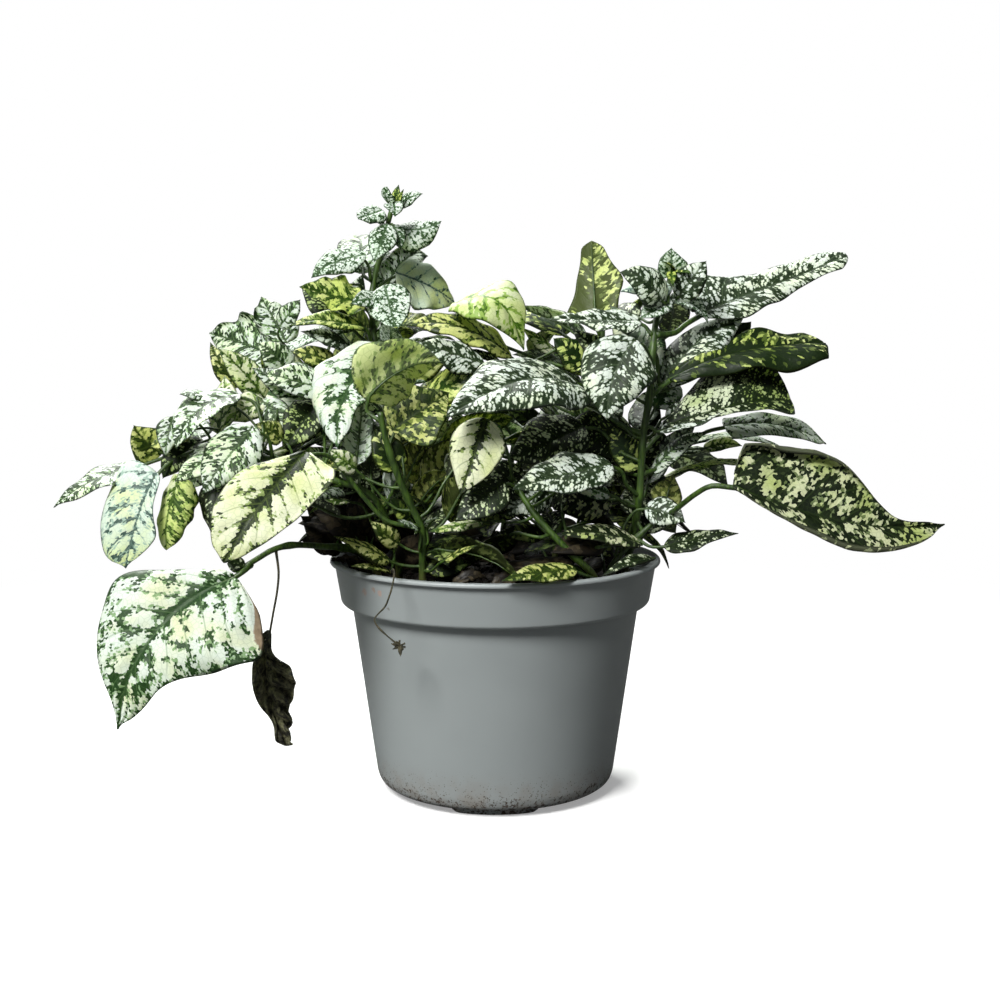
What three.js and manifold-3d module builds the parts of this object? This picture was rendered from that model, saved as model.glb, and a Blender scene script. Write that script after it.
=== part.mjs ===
// Potted polka dot plant: a plastic nursery pot, its soil, and a plant of separate stems and leaves.
// Millimetres, +Z up, origin on the floor under the pot's axis, -Y is the front.
import * as THREE from "three";
import { mergeVertices } from "three/addons/utils/BufferGeometryUtils.js";
import Module from "manifold-3d";

const wasm = await Module();
wasm.setup();

// ---- Driving dimensions ----

const POT_HEIGHT = 85;
const LIP_RADIUS = 60;
const BAND_TOP_RADIUS = 58.4;
const BAND_FOOT_RADIUS = 56.2;
const BAND_FOOT_Z = 69;
const WALL_TOP_RADIUS = 52.3;
const WALL_FOOT_RADIUS = 43.6;
const BASE_RADIUS = 40.5;
const CORNER_Z = 6.5;
const CORNER_TURN = { radius: 42.6, z: 3.7 };
const FOOT_HEIGHT = 2.2;
const WALL = 1.6;
const LIP_THICKNESS = 1.5;
const LIP_CHAMFER = 0.5;
const BAND_CHAMFER = 0.9;
const FOOT_RING = { inner: 33, outer: 38.5, count: 4, spanDeg: 52 };
const DRAIN = { radius: 3, circle: 27, count: 6, segments: 14 };
const POT_SEGMENTS = 56;

const SOIL_TOP = 78;
const SOIL_CORNER = 1;
const SOIL_SEGMENTS = 40;
const CLEARANCE = 0.3;

const STEM_SIDES = 8;
const STEM_STEP = 7;

const PETIOLE_RADIUS = 0.8;
const PETIOLE_GROOVE = 0.55;
const PETIOLE_STEP = 6;
const BLADE_THICKNESS = 0.7;
const BLADE_STATIONS = [0.02, 0.12, 0.28, 0.46, 0.64, 0.81, 0.93];

const TENDRIL_RADIUS = 0.4;
const TENDRIL_STEP = 3;

// ---- Materials ----

const material = (color, roughness) => new THREE.MeshStandardMaterial({ color, roughness, metalness: 0 });

const POT_PLASTIC = material(0x8d9494, 0.45);
const SOIL = material(0x1c1712, 0.95);
const STEM_GREEN = material(0x4f7a26, 0.55);
const DRY_BROWN = material(0x2b2a1c, 0.85);
const LEAF_STYLES = {
  white: material(0xdde6dc, 0.5),
  cream: material(0xd9dcb0, 0.5),
  speckled: material(0xa9b8a6, 0.5),
  dark: material(0x3c4a2c, 0.55),
  lime: material(0xaabf5c, 0.5),
  olive: material(0x6c7a38, 0.55),
};

// ---- Small helpers ----

const radians = THREE.MathUtils.degToRad;
const vector = ([x, y, z]) => new THREE.Vector3(x, y, z);

function named(name, geometry, finish) {
  const mesh = new THREE.Mesh(geometry, finish);
  mesh.name = name;
  return mesh;
}

function solid(geometry) {
  const bare = geometry.clone();
  bare.deleteAttribute("normal");
  bare.deleteAttribute("uv");
  const merged = mergeVertices(bare, 1e-3);
  return new wasm.Manifold(new wasm.Mesh({
    numProp: 3,
    vertProperties: new Float32Array(merged.attributes.position.array),
    triVerts: new Uint32Array(merged.index.array),
  }));
}

function geometryOf(manifold) {
  const { vertProperties, triVerts } = manifold.getMesh();
  const geometry = new THREE.BufferGeometry();
  geometry.setAttribute("position", new THREE.BufferAttribute(vertProperties, 3));
  geometry.setIndex(new THREE.BufferAttribute(triVerts, 1));
  geometry.computeVertexNormals();
  return geometry;
}

// A profile of [radius, height] points turned about the vertical axis.
function turned(profile, segments = POT_SEGMENTS) {
  const points = profile.map(([r, z]) => new THREE.Vector2(r, z));
  return new THREE.LatheGeometry(points, segments).rotateX(Math.PI / 2);
}

// ---- Pot ----

function potShell() {
  const floorTop = FOOT_HEIGHT + WALL;
  const lipUnder = POT_HEIGHT - LIP_THICKNESS;
  return turned([
    [0, FOOT_HEIGHT],
    [BASE_RADIUS, FOOT_HEIGHT],
    [CORNER_TURN.radius, CORNER_TURN.z],
    [WALL_FOOT_RADIUS, CORNER_Z],
    [WALL_TOP_RADIUS, BAND_FOOT_Z],
    [BAND_FOOT_RADIUS - BAND_CHAMFER, BAND_FOOT_Z],
    [BAND_FOOT_RADIUS, BAND_FOOT_Z + BAND_CHAMFER],
    [BAND_TOP_RADIUS, lipUnder],
    [LIP_RADIUS, lipUnder],
    [LIP_RADIUS, POT_HEIGHT - LIP_CHAMFER],
    [LIP_RADIUS - LIP_CHAMFER, POT_HEIGHT],
    [BAND_TOP_RADIUS - WALL, POT_HEIGHT],
    [BAND_FOOT_RADIUS - WALL, BAND_FOOT_Z + WALL],
    [WALL_TOP_RADIUS - WALL, BAND_FOOT_Z + WALL],
    [WALL_FOOT_RADIUS - WALL, CORNER_Z],
    [BASE_RADIUS - WALL, floorTop],
    [0, floorTop],
  ]);
}

// One foot: an arc of the ring under the floor, sunk into the floor so that the join is one body.
function foot(index) {
  const half = radians(FOOT_RING.spanDeg / 2);
  const outline = new THREE.Shape();
  outline.absarc(0, 0, FOOT_RING.outer, -half, half, false);
  outline.absarc(0, 0, FOOT_RING.inner, half, -half, true);
  outline.closePath();
  const arc = new THREE.ExtrudeGeometry(outline, {
    depth: FOOT_HEIGHT + WALL / 2,
    bevelEnabled: false,
    curveSegments: 8,
  });
  return arc.rotateZ(-Math.PI / 2 + (index * 2 * Math.PI) / FOOT_RING.count);
}

function drainHole(index) {
  const turn = ((index + 0.5) * 2 * Math.PI) / DRAIN.count;
  return new THREE.CylinderGeometry(DRAIN.radius, DRAIN.radius, 4 * WALL, DRAIN.segments)
    .rotateX(Math.PI / 2)
    .translate(DRAIN.circle * Math.cos(turn), DRAIN.circle * Math.sin(turn), FOOT_HEIGHT + WALL / 2);
}

function pot() {
  let body = solid(potShell());
  for (let i = 0; i < FOOT_RING.count; i += 1) body = body.add(solid(foot(i)));
  for (let i = 0; i < DRAIN.count; i += 1) body = body.subtract(solid(drainHole(i)));
  return named("pot", geometryOf(body), POT_PLASTIC);
}

// ---- Soil ----

// The root ball: it fills the pot with a small clearance and is flat on top.
function soil() {
  const gap = WALL + CLEARANCE;
  const step = BAND_FOOT_Z + gap;
  const profile = [
    [0, FOOT_HEIGHT + gap],
    [BASE_RADIUS - gap - SOIL_CORNER, FOOT_HEIGHT + gap],
    [WALL_FOOT_RADIUS - gap, CORNER_Z + SOIL_CORNER],
    [WALL_TOP_RADIUS - gap, step],
    [BAND_FOOT_RADIUS - gap, step],
    [BAND_FOOT_RADIUS - gap, SOIL_TOP],
    [0, SOIL_TOP],
  ];
  return named("soil", turned(profile, SOIL_SEGMENTS), SOIL);
}

// ---- Stems ----

// Each stem: its radius and the points its centre line runs through, from the soil up.
const STEMS = {
  stem_centre: {
    radius: 1.6,
    path: [[-25, -29, SOIL_TOP], [-25, -31, 88], [-25, -34, 100], [-28, -36, 107], [-32, -40, 117],
      [-36, -43, 130], [-38, -44, 140]],
  },
  stem_tall: {
    radius: 1.5,
    path: [[-18, 6, SOIL_TOP], [-22, 5, 95], [-33, 4, 120], [-40, 5, 141], [-45, 11, 170],
      [-45, 13, 182], [-42, 13, 194], [-39, 13, 206], [-37, 13, 213]],
  },
  stem_right: {
    radius: 1.6,
    path: [[46, -14, SOIL_TOP], [48, -19, 92], [50, -24, 108], [51, -26, 131], [53, -26, 145],
      [54, -25, 160], [56, -19, 172], [60, -14, 182], [62, -12, 188]],
  },
  stem_front_right: {
    radius: 1.5,
    path: [[35, -35, SOIL_TOP], [31, -40, 87], [24, -42, 94], [13, -40, 106], [5, -36, 118]],
  },
  stem_left: {
    radius: 1.5,
    path: [[-34, -16, SOIL_TOP], [-36, -22, 95], [-43, -29, 111], [-55, -32, 116], [-73, -32, 122],
      [-96, -29, 127], [-112, -27, 122]],
  },
  stem_low_left: {
    radius: 1.5,
    path: [[-42, -10, SOIL_TOP], [-45, -11, 85], [-51, -14, 89.5], [-59, -18, 91], [-74, -28, 92.5],
      [-86, -38, 86.5]],
  },
  stem_low_right: {
    radius: 1.3,
    path: [[38, -26, SOIL_TOP], [44, -26, 90], [53, -26, 99], [60, -25, 104.5]],
  },
  stem_back_left: {
    radius: 1.4,
    path: [[-30, 22, SOIL_TOP], [-40, 30, 108], [-56, 35, 132], [-68, 38, 146], [-78, 40, 157]],
  },
  stem_back_mid: {
    radius: 1.4,
    path: [[2, 34, SOIL_TOP], [5, 44, 105], [8, 50, 130]],
  },
  stem_back_right: {
    radius: 1.4,
    path: [[28, 32, SOIL_TOP], [40, 44, 100], [56, 54, 118]],
  },
  stem_upper_right: {
    radius: 1.4,
    path: [[22, 12, SOIL_TOP], [27, 12, 110], [34, 8, 140], [38, 4, 160], [39, 3, 169]],
  },
};

// The centre line, with a short upright start that stands just clear of the soil.
function stemCurve({ radius, path }) {
  const [x, y, z] = path[0];
  const start = [[x, y, z + CLEARANCE], [x, y, z + CLEARANCE + 2 * radius]];
  return new THREE.CatmullRomCurve3([...start, ...path.slice(1)].map(vector), false, "centripetal");
}

function roundSection(radius) {
  const outline = new THREE.Shape();
  for (let i = 0; i < STEM_SIDES; i += 1) {
    const turn = (i * 2 * Math.PI) / STEM_SIDES;
    const [x, y] = [radius * Math.cos(turn), radius * Math.sin(turn)];
    if (i === 0) outline.moveTo(x, y);
    else outline.lineTo(x, y);
  }
  outline.closePath();
  return outline;
}

function tube(curve, radius, step) {
  return new THREE.ExtrudeGeometry(roundSection(radius), {
    extrudePath: curve,
    steps: Math.max(3, Math.round(curve.getLength() / step)),
    bevelEnabled: false,
  });
}

const stemCurves = Object.fromEntries(Object.entries(STEMS).map(([name, stem]) => [name, stemCurve(stem)]));

function stems() {
  return Object.entries(STEMS).map(([name, stem]) =>
    named(name, tube(stemCurves[name], stem.radius, STEM_STEP), STEM_GREEN));
}

// ---- Leaves ----

// Each leaf: the stem that carries it and how far along (0 to 1), where its blade starts and where it
// ends, its full width, and the way its upper side faces. Optional: arch lifts the midrib, bend curves it
// sideways, fold raises (or drops) the halves in degrees, peak is where it is widest, and taper is how
// narrow its ends are.
const LEAVES = {
  // left side
  leaf_left_far: {
    style: "white", stem: "stem_left", at: 0.97, base: [-124, -18, 120], tip: [-150, -36, 108],
    width: 15, face: [-0.3, -0.5, 0.8], arch: 2,
  },
  leaf_left_pale: {
    style: "white", stem: "stem_left", at: 0.99, base: [-115, -33, 119], tip: [-124, -42, 87.5],
    width: 22, face: [-0.35, -0.9, 0.1], arch: 3, bend: 3.5, peak: 0.42,
  },
  leaf_left_folded: {
    style: "cream", stem: "stem_left", at: 0.93, base: [-107, -34, 118], tip: [-112, -39, 93.5],
    width: 14, face: [-0.5, -0.85, 0], fold: -30, bend: 1.5,
  },
  leaf_left_upper: {
    style: "white", stem: "stem_left", at: 0.7, base: [-88, -24, 145], tip: [-106.5, -42, 128],
    width: 26, face: [-0.3, -0.55, 0.75], arch: 3,
  },
  leaf_left_inner: {
    style: "speckled", stem: "stem_left", at: 0.78, base: [-88, -34, 130], tip: [-106, -45, 117],
    width: 17, face: [-0.3, -0.6, 0.75],
  },
  leaf_left_hanging: {
    style: "cream", stem: "stem_left", at: 0.66, base: [-81, -38, 135], tip: [-96, -52, 115],
    width: 21, face: [-0.1, -0.75, 0.6],
  },
  leaf_front_left: {
    style: "cream", stem: "stem_centre", at: 0.36, base: [-62, -50, 127.5], tip: [-84.5, -80, 97],
    width: 33, face: [0.1, -0.65, 0.75], bend: 2, arch: 3, peak: 0.32, taper: 1.4,
  },
  leaf_low_left: {
    style: "white", stem: "stem_low_left", at: 0.97, base: [-87, -44, 85], tip: [-125, -60, 36.5],
    width: 52, face: [-0.2, -0.9, 0.35], bend: 3.5, arch: 4, peak: 0.42, taper: 1.75,
  },
  leaf_left_shaded: {
    style: "dark", stem: "stem_back_left", at: 0.62, base: [-60, 2, 143], tip: [-75, -14, 123],
    width: 20, face: [0, -0.7, 0.6],
  },
  // back left
  leaf_back_left_upper: {
    style: "white", stem: "stem_back_left", at: 0.93, base: [-81, 40, 162], tip: [-92, 50, 180],
    width: 20, face: [0.2, -0.9, 0.3],
  },
  leaf_back_left: {
    style: "white", stem: "stem_back_left", at: 0.88, base: [-84, 42, 157], tip: [-115, 60, 166],
    width: 30, face: [-0.2, -0.8, 0.5],
  },
  // tall shoot
  leaf_tip_left: {
    style: "speckled", stem: "stem_tall", at: 0.8, base: [-47, 10, 194], tip: [-66, 2, 187],
    width: 14, face: [-0.2, -0.75, 0.65], bend: 1.5,
  },
  leaf_tip_right: {
    style: "speckled", stem: "stem_tall", at: 0.91, base: [-36, 12, 204], tip: [-20, 15, 206],
    width: 17, face: [0.1, -0.8, 0.6], fold: -25, bend: 2,
  },
  leaf_tip_front: {
    style: "speckled", stem: "stem_tall", at: 0.93, base: [-39, 8, 205], tip: [-43, -2, 191],
    width: 11, face: [0, -0.9, 0.3],
  },
  leaf_tip_round: {
    style: "speckled", stem: "stem_tall", at: 0.94, base: [-41, 11, 210], tip: [-49, 4, 206.5],
    width: 12, face: [-0.1, -0.8, 0.6], taper: 1,
  },
  leaf_shoot_heart: {
    style: "speckled", stem: "stem_tall", at: 0.72, base: [-40, 6, 183], tip: [-35, -7, 166],
    width: 17, face: [0, -0.9, 0.4],
  },
  leaf_shoot_pale: {
    style: "white", stem: "stem_tall", at: 0.77, base: [-37, 20, 188], tip: [-15, 32, 177],
    width: 23, face: [0.1, -0.85, 0.5], arch: 2,
  },
  leaf_lime_left: {
    style: "lime", stem: "stem_tall", at: 0.68, base: [-47, 6, 176], tip: [-69.5, -3, 182],
    width: 18, face: [-0.1, -0.75, 0.65],
  },
  // centre
  leaf_centre_white: {
    style: "white", stem: "stem_tall", at: 0.55, base: [-40, -8, 161], tip: [-53.5, -39, 130],
    width: 32, face: [-0.2, -0.75, 0.65], bend: 2,
  },
  leaf_centre_lime: {
    style: "lime", stem: "stem_centre", at: 0.97, base: [-43, -42, 144], tip: [-19, -34, 157],
    width: 28, face: [-0.3, 0.8, 0.5], bend: 4,
  },
  leaf_centre_olive: {
    style: "olive", stem: "stem_centre", at: 0.62, base: [-35, -31, 133], tip: [-16, -25, 146],
    width: 26, face: [0, -0.8, 0.5],
  },
  leaf_centre_speckled: {
    style: "dark", stem: "stem_upper_right", at: 0.7, base: [-4, -9, 155], tip: [-27, -18, 163],
    width: 17, face: [-0.1, -0.7, 0.7],
  },
  leaf_top_cream: {
    style: "cream", stem: "stem_upper_right", at: 0.8, base: [-14, 5, 176], tip: [10, -6, 160],
    width: 28, face: [0.2, -0.6, 0.75], arch: 12, peak: 0.32, taper: 1.4,
  },
  leaf_top_olive: {
    style: "olive", stem: "stem_upper_right", at: 0.75, base: [6, 3, 157], tip: [-32.5, -5, 170],
    width: 17, face: [0, -0.5, 0.85], arch: 5,
  },
  // centre right
  leaf_front_speckled: {
    style: "speckled", stem: "stem_right", at: 0.48, base: [29.5, -20, 147], tip: [-15, -58, 138],
    width: 38, face: [-0.1, -0.6, 0.8], arch: 9, taper: 1.5,
  },
  leaf_front_hanging: {
    style: "cream", stem: "stem_front_right", at: 0.98, base: [-3, -44, 138], tip: [-11, -54, 114],
    width: 19, face: [0.1, -0.95, 0.2],
  },
  leaf_inner_shaded: {
    style: "dark", stem: "stem_right", at: 0.4, base: [31, -22, 134], tip: [5, -34, 124],
    width: 22, face: [0, -0.75, 0.6],
  },
  leaf_front_dark: {
    style: "dark", stem: "stem_front_right", at: 0.9, base: [3, -42, 117], tip: [-13, -50, 105],
    width: 17, face: [-0.1, -0.8, 0.5],
  },
  leaf_front_low: {
    style: "speckled", stem: "stem_right", at: 0.3, base: [39.5, -34, 122], tip: [6, -52, 116],
    width: 20, face: [0, -0.65, 0.75],
  },
  // right side
  leaf_right_upright: {
    style: "lime", stem: "stem_upper_right", at: 0.97, base: [36, 2, 171], tip: [35, 12, 198],
    width: 21, face: [0, 0.9, -0.3], peak: 0.32, taper: 1.4,
  },
  leaf_right_reaching: {
    style: "speckled", stem: "stem_right", at: 0.78, base: [50, -22, 170], tip: [18, -30, 170.5],
    width: 21, face: [0, -0.42, 0.9],
  },
  leaf_right_hanging: {
    style: "speckled", stem: "stem_right", at: 0.7, base: [47, -36, 164], tip: [37, -45, 138],
    width: 26, face: [-0.1, -0.9, 0.35], bend: 2.5,
  },
  leaf_right_top: {
    style: "speckled", stem: "stem_right", at: 0.78, base: [71, -12, 172], tip: [128.5, 12, 192],
    width: 32, face: [-0.1, -0.6, 0.75], arch: -2, bend: -4, peak: 0.28, taper: 1.9,
  },
  leaf_right_olive: {
    style: "olive", stem: "stem_right", at: 0.6, base: [60, -21, 150], tip: [116, -6, 160],
    width: 32, face: [0, -0.5, 0.85], arch: 5,
  },
  leaf_right_green: {
    style: "dark", stem: "stem_right", at: 0.44, base: [58, -25, 134], tip: [104, -16, 144],
    width: 24, face: [0, -0.55, 0.8], arch: 5,
  },
  leaf_right_narrow: {
    style: "speckled", stem: "stem_right", at: 0.36, base: [81, -10, 133], tip: [120.5, 2, 126],
    width: 19, face: [0.05, -0.45, 0.9], arch: 3,
  },
  leaf_far_right: {
    style: "dark", stem: "stem_low_right", at: 0.97, base: [78, -50, 116.5], tip: [150.5, -42, 101],
    width: 31, face: [-0.1, -0.75, 0.6], bend: 1, fold: 6, peak: 0.38, taper: 1.7,
  },
  leaf_right_low: {
    style: "dark", stem: "stem_low_right", at: 0.6, base: [58, -31, 93], tip: [82.5, -34, 99.5],
    width: 11, face: [0, -0.5, 0.85],
  },
  leaf_over_lip: {
    style: "lime", stem: "stem_front_right", at: 0.15, base: [27, -50, 88.5], tip: [3, -64, 88.5],
    width: 11, face: [0, -0.6, 0.8],
  },
  // back, turned away from the front
  leaf_rear_high: {
    style: "white", stem: "stem_back_mid", at: 0.97, base: [9, 56, 131], tip: [20, 83, 112],
    width: 28, face: [0, 0.5, 0.85], arch: 4,
  },
  leaf_rear_left: {
    style: "speckled", stem: "stem_back_mid", at: 0.75, base: [-2, 52, 118], tip: [-30, 81, 98],
    width: 30, face: [-0.2, 0.5, 0.85], arch: 4,
  },
  leaf_rear_right: {
    style: "speckled", stem: "stem_back_right", at: 0.97, base: [62, 60, 118], tip: [98, 80, 104],
    width: 28, face: [0.2, 0.4, 0.9], arch: 4,
  },
  leaf_side_right: {
    style: "white", stem: "stem_back_right", at: 0.78, base: [62, 43, 118], tip: [112, 40, 124],
    width: 28, face: [0.2, 0, 0.95], arch: 4,
  },
  leaf_side_left: {
    style: "cream", stem: "stem_back_left", at: 0.6, base: [-66, 36, 128], tip: [-114, 46, 118],
    width: 28, face: [-0.2, 0, 0.95], arch: 4,
  },
  leaf_rear_far_left: {
    style: "white", stem: "stem_back_left", at: 0.4, base: [-54, 46, 114], tip: [-84, 80, 94],
    width: 28, face: [-0.2, 0.4, 0.9], arch: 4,
  },
};

// The blade's half width at a share of its length: round at the base, drawn out to the tip.
function halfWidth({ width, peak = 0.36, taper = 1.6 }, t) {
  const rise = (t / peak) ** (peak * taper);
  const fall = ((1 - t) / (1 - peak)) ** ((1 - peak) * taper);
  return (width / 2) * rise * fall;
}

// The blade's straight axes: along from base to tip, up towards the upper side, across to the right.
function bladeAxes({ base, tip, face }) {
  const along = vector(tip).sub(vector(base));
  const length = along.length();
  along.normalize();
  const up = vector(face);
  up.addScaledVector(along, -up.dot(along)).normalize();
  return { along, up, across: along.clone().cross(up), length };
}

function midribPoint(leaf, axes, t) {
  const swell = 4 * t * (1 - t);
  return vector(leaf.base)
    .addScaledVector(axes.along, axes.length * t)
    .addScaledVector(axes.up, (leaf.arch ?? 0) * swell)
    .addScaledVector(axes.across, (leaf.bend ?? 0) * swell);
}

// A frame on the centre line: up and right, square to the way ahead.
function frameAt(ahead, upHint) {
  const up = upHint.clone().addScaledVector(ahead, -upHint.dot(ahead)).normalize();
  return { up, right: ahead.clone().cross(up) };
}

// Eight points round the blade: left margin, over the top to the right margin, and back underneath.
function bladeRing(leaf, axes, t) {
  const step = 0.01;
  const centre = midribPoint(leaf, axes, t);
  const ahead = midribPoint(leaf, axes, t + step).sub(midribPoint(leaf, axes, t - step)).normalize();
  const frame = frameAt(ahead, axes.up);
  const half = halfWidth(leaf, t);
  const fold = radians(leaf.fold ?? 0);
  const side = (share, lift) => centre.clone()
    .addScaledVector(frame.right, share * half * Math.cos(fold))
    .addScaledVector(frame.up, Math.abs(share) * half * Math.sin(fold) + lift);
  const thick = BLADE_THICKNESS / 2;
  return [side(-1, 0), side(-0.5, thick), side(0, thick), side(0.5, thick),
    side(1, 0), side(0.5, -thick), side(0, -thick), side(-0.5, -thick)];
}

// Eight points round the petiole, with a shallow groove along its upper side.
function petioleRing(centre, frame) {
  return Array.from({ length: 8 }, (_, i) => {
    const turn = Math.PI - (i * Math.PI) / 4;
    const radius = i === 2 ? PETIOLE_RADIUS * PETIOLE_GROOVE : PETIOLE_RADIUS;
    return centre.clone()
      .addScaledVector(frame.right, radius * Math.cos(turn))
      .addScaledVector(frame.up, radius * Math.sin(turn));
  });
}

// The petiole leaves its stem square to it, a small clearance off its surface, and runs into the midrib.
function petioleCurve(leaf, axes) {
  const curve = stemCurves[leaf.stem];
  const from = curve.getPointAt(leaf.at);
  const line = curve.getTangentAt(leaf.at);
  const base = vector(leaf.base);
  const away = base.clone().sub(from);
  away.addScaledVector(line, -away.dot(line)).normalize();
  const start = from.clone().addScaledVector(away, STEMS[leaf.stem].radius + CLEARANCE);
  const reach = start.distanceTo(base) / 3;
  const ahead = midribPoint(leaf, axes, 0.01).sub(base).normalize();
  return new THREE.CubicBezierCurve3(start, start.clone().addScaledVector(away, reach),
    base.clone().addScaledVector(ahead, -reach), base);
}

// Joins rings of eight points into one closed skin: a flat cap at the stem end, a point at the tip.
function loft(rings, tip) {
  const points = [...rings.flat(), tip];
  const faces = [];
  rings.slice(1).forEach((_, k) => {
    for (let j = 0; j < 8; j += 1) {
      const [a, b] = [8 * k + j, 8 * k + ((j + 1) % 8)];
      faces.push(a, b, b + 8, a, b + 8, a + 8);
    }
  });
  const last = 8 * (rings.length - 1);
  for (let j = 0; j < 8; j += 1) faces.push(last + j, last + ((j + 1) % 8), points.length - 1);
  for (let j = 3; j < 9; j += 1) faces.push(2, (j + 1) % 8, j % 8);
  const geometry = new THREE.BufferGeometry().setFromPoints(points);
  geometry.setIndex(faces);
  geometry.computeVertexNormals();
  return geometry;
}

function leaf(name, spec, finish) {
  const axes = bladeAxes(spec);
  const petiole = petioleCurve(spec, axes);
  const steps = THREE.MathUtils.clamp(Math.round(petiole.getLength() / PETIOLE_STEP), 2, 5);
  const rings = [];
  for (let i = 0; i < steps; i += 1) {
    const frame = frameAt(petiole.getTangentAt(i / steps), axes.up);
    rings.push(petioleRing(petiole.getPointAt(i / steps), frame));
  }
  BLADE_STATIONS.forEach((t) => rings.push(bladeRing(spec, axes, t)));
  return named(name, loft(rings, vector(spec.tip)), finish);
}

function leaves() {
  return Object.entries(LEAVES).map(([name, spec]) => leaf(name, spec, LEAF_STYLES[spec.style]));
}

// ---- Dry leaf and tendril ----

// A dead leaf that hangs on its shrunken stalk from the low left stem.
function dryLeaf() {
  return leaf("dry_leaf", {
    stem: "stem_low_left", at: 0.76, base: [-78, -31, 64], tip: [-73, -33, 23],
    width: 16, face: [0.1, -0.95, 0.1], fold: -20, bend: 3.5, peak: 0.42,
  }, DRY_BROWN);
}

// A dried tendril that hangs over the lip in front.
function tendril() {
  const path = [[-34, -42, 84], [-34, -49, 88], [-33, -56, 88.5], [-33, -61.5, 84], [-35, -60.5, 79],
    [-39, -60, 73], [-35, -60, 68], [-31, -60, 65]];
  const curve = new THREE.CatmullRomCurve3(path.map(vector), false, "centripetal");
  return named("tendril", tube(curve, TENDRIL_RADIUS, TENDRIL_STEP), DRY_BROWN);
}

// ---- Assembly ----

const plant = new THREE.Group();
plant.add(pot(), soil(), ...stems(), ...leaves(), dryLeaf(), tendril());

export default plant;
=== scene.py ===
"""The looks of a potted polka dot plant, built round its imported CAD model.

The CAD nodes give every place and size: each stem, leaf, the pot and the soil is read from its node and
built again here as a finer mesh. Lengths are millimetres while a mesh is worked out and metres once it is
an object; +Z is up.
"""

import math
from types import SimpleNamespace

import bpy
import numpy as np
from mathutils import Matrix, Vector


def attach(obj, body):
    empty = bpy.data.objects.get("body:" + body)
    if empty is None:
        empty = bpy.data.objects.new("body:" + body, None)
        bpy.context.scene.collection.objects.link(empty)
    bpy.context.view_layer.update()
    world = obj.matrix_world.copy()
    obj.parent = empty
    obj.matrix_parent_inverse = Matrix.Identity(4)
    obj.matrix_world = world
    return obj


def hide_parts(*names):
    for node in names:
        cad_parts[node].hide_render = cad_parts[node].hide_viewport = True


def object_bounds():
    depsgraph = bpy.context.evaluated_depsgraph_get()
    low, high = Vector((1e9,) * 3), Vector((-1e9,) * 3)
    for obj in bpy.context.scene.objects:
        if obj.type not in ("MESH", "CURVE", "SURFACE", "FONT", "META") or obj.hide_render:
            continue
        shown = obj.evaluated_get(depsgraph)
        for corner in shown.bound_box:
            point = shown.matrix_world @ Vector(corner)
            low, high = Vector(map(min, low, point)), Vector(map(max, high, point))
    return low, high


MM = 0.001

# In metres. The leaves that fill the bush are placed by the view from here too.
CAMERA_PLACE = (0.0017, -0.520, 0.168)

# The seeds of the random draws. Where several things share one, each adds its number to it.
LEAF_SEED = 100
SHAPE_SEED = 300
GROUP_SEED, SEEDS_IN_GROUP = 1000, 50
FILL_SEED = 2000
DRY_LEAF_SEED = 7
TENDRIL_SEED = 11
PETAL_SEED = 40
DEAD_LEAF_SEED = 60
SOIL_SEED = 5
LITTER_SEED = 17

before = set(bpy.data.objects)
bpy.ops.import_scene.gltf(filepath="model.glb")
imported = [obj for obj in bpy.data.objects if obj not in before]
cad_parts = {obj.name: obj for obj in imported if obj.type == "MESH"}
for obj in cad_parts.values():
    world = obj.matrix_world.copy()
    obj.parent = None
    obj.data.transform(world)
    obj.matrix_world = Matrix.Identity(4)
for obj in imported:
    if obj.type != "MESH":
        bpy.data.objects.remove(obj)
cad_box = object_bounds()


# ---- Small helpers ----

def linear(red, green, blue):
    """A screen colour of 0 to 255 a channel, as the linear colour that shaders take."""
    shares = (c / 255 for c in (red, green, blue))
    return (*(c / 12.92 if c <= 0.04045 else ((c + 0.055) / 1.055) ** 2.4 for c in shares), 1.0)


def unit(vectors):
    """The same vectors with length 1."""
    return vectors / np.maximum(np.linalg.norm(vectors, axis=-1, keepdims=True), 1e-12)


def smoothstep(low, high, values):
    """0 on low's side, 1 on high's side, and a smooth change between."""
    share = np.clip((values - low) / (high - low), 0, 1)
    return share * share * (3 - 2 * share)


def around(count):
    """The angles of that many even steps round a circle."""
    return np.arange(count) * 2 * math.pi / count


def run_along(line):
    """How far along a line each of its points lies."""
    return np.concatenate([[0], np.cumsum(np.linalg.norm(np.diff(line, axis=0), axis=1))])


def waves(rng, places, length, count=5):
    """A smooth wavy field at these 2-D or 3-D places, about -1 to 1, with waves of about this length."""
    total = np.zeros(len(places))
    for _ in range(count):
        way = unit(rng.normal(size=places.shape[1])) * rng.uniform(0.6, 1.6) * 2 * math.pi / length
        total += np.sin(places @ way + rng.uniform(0, 2 * math.pi))
    return total / math.sqrt(count) * 0.8


def spline(points, count):
    """That many points, evenly spaced along a smooth curve through these."""
    points = np.asarray(points, float)
    gaps = np.linalg.norm(np.diff(points, axis=0), axis=1) ** 0.5
    knots = np.concatenate([[0], np.cumsum(gaps)])
    slopes = np.gradient(points, knots, axis=0)
    at = np.linspace(0, knots[-1], 24 * len(points))
    k = np.clip(np.searchsorted(knots, at, side="right") - 1, 0, len(points) - 2)
    width = (knots[k + 1] - knots[k])[:, None]
    t = (at - knots[k])[:, None] / width
    dense = (
        points[k] * (1 + 2 * t) * (1 - t) ** 2
        + points[k + 1] * t * t * (3 - 2 * t)
        + slopes[k] * width * t * (1 - t) ** 2
        - slopes[k + 1] * width * t * t * (1 - t)
    )
    run = run_along(dense)
    even = np.linspace(0, run[-1], count)
    return np.stack([np.interp(even, run, dense[:, i]) for i in range(3)], axis=1)


# ---- Reading the CAD nodes ----

# Points of a CAD mesh that lie closer than this, in metres, are one point.
WELD = 1e-6


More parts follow.
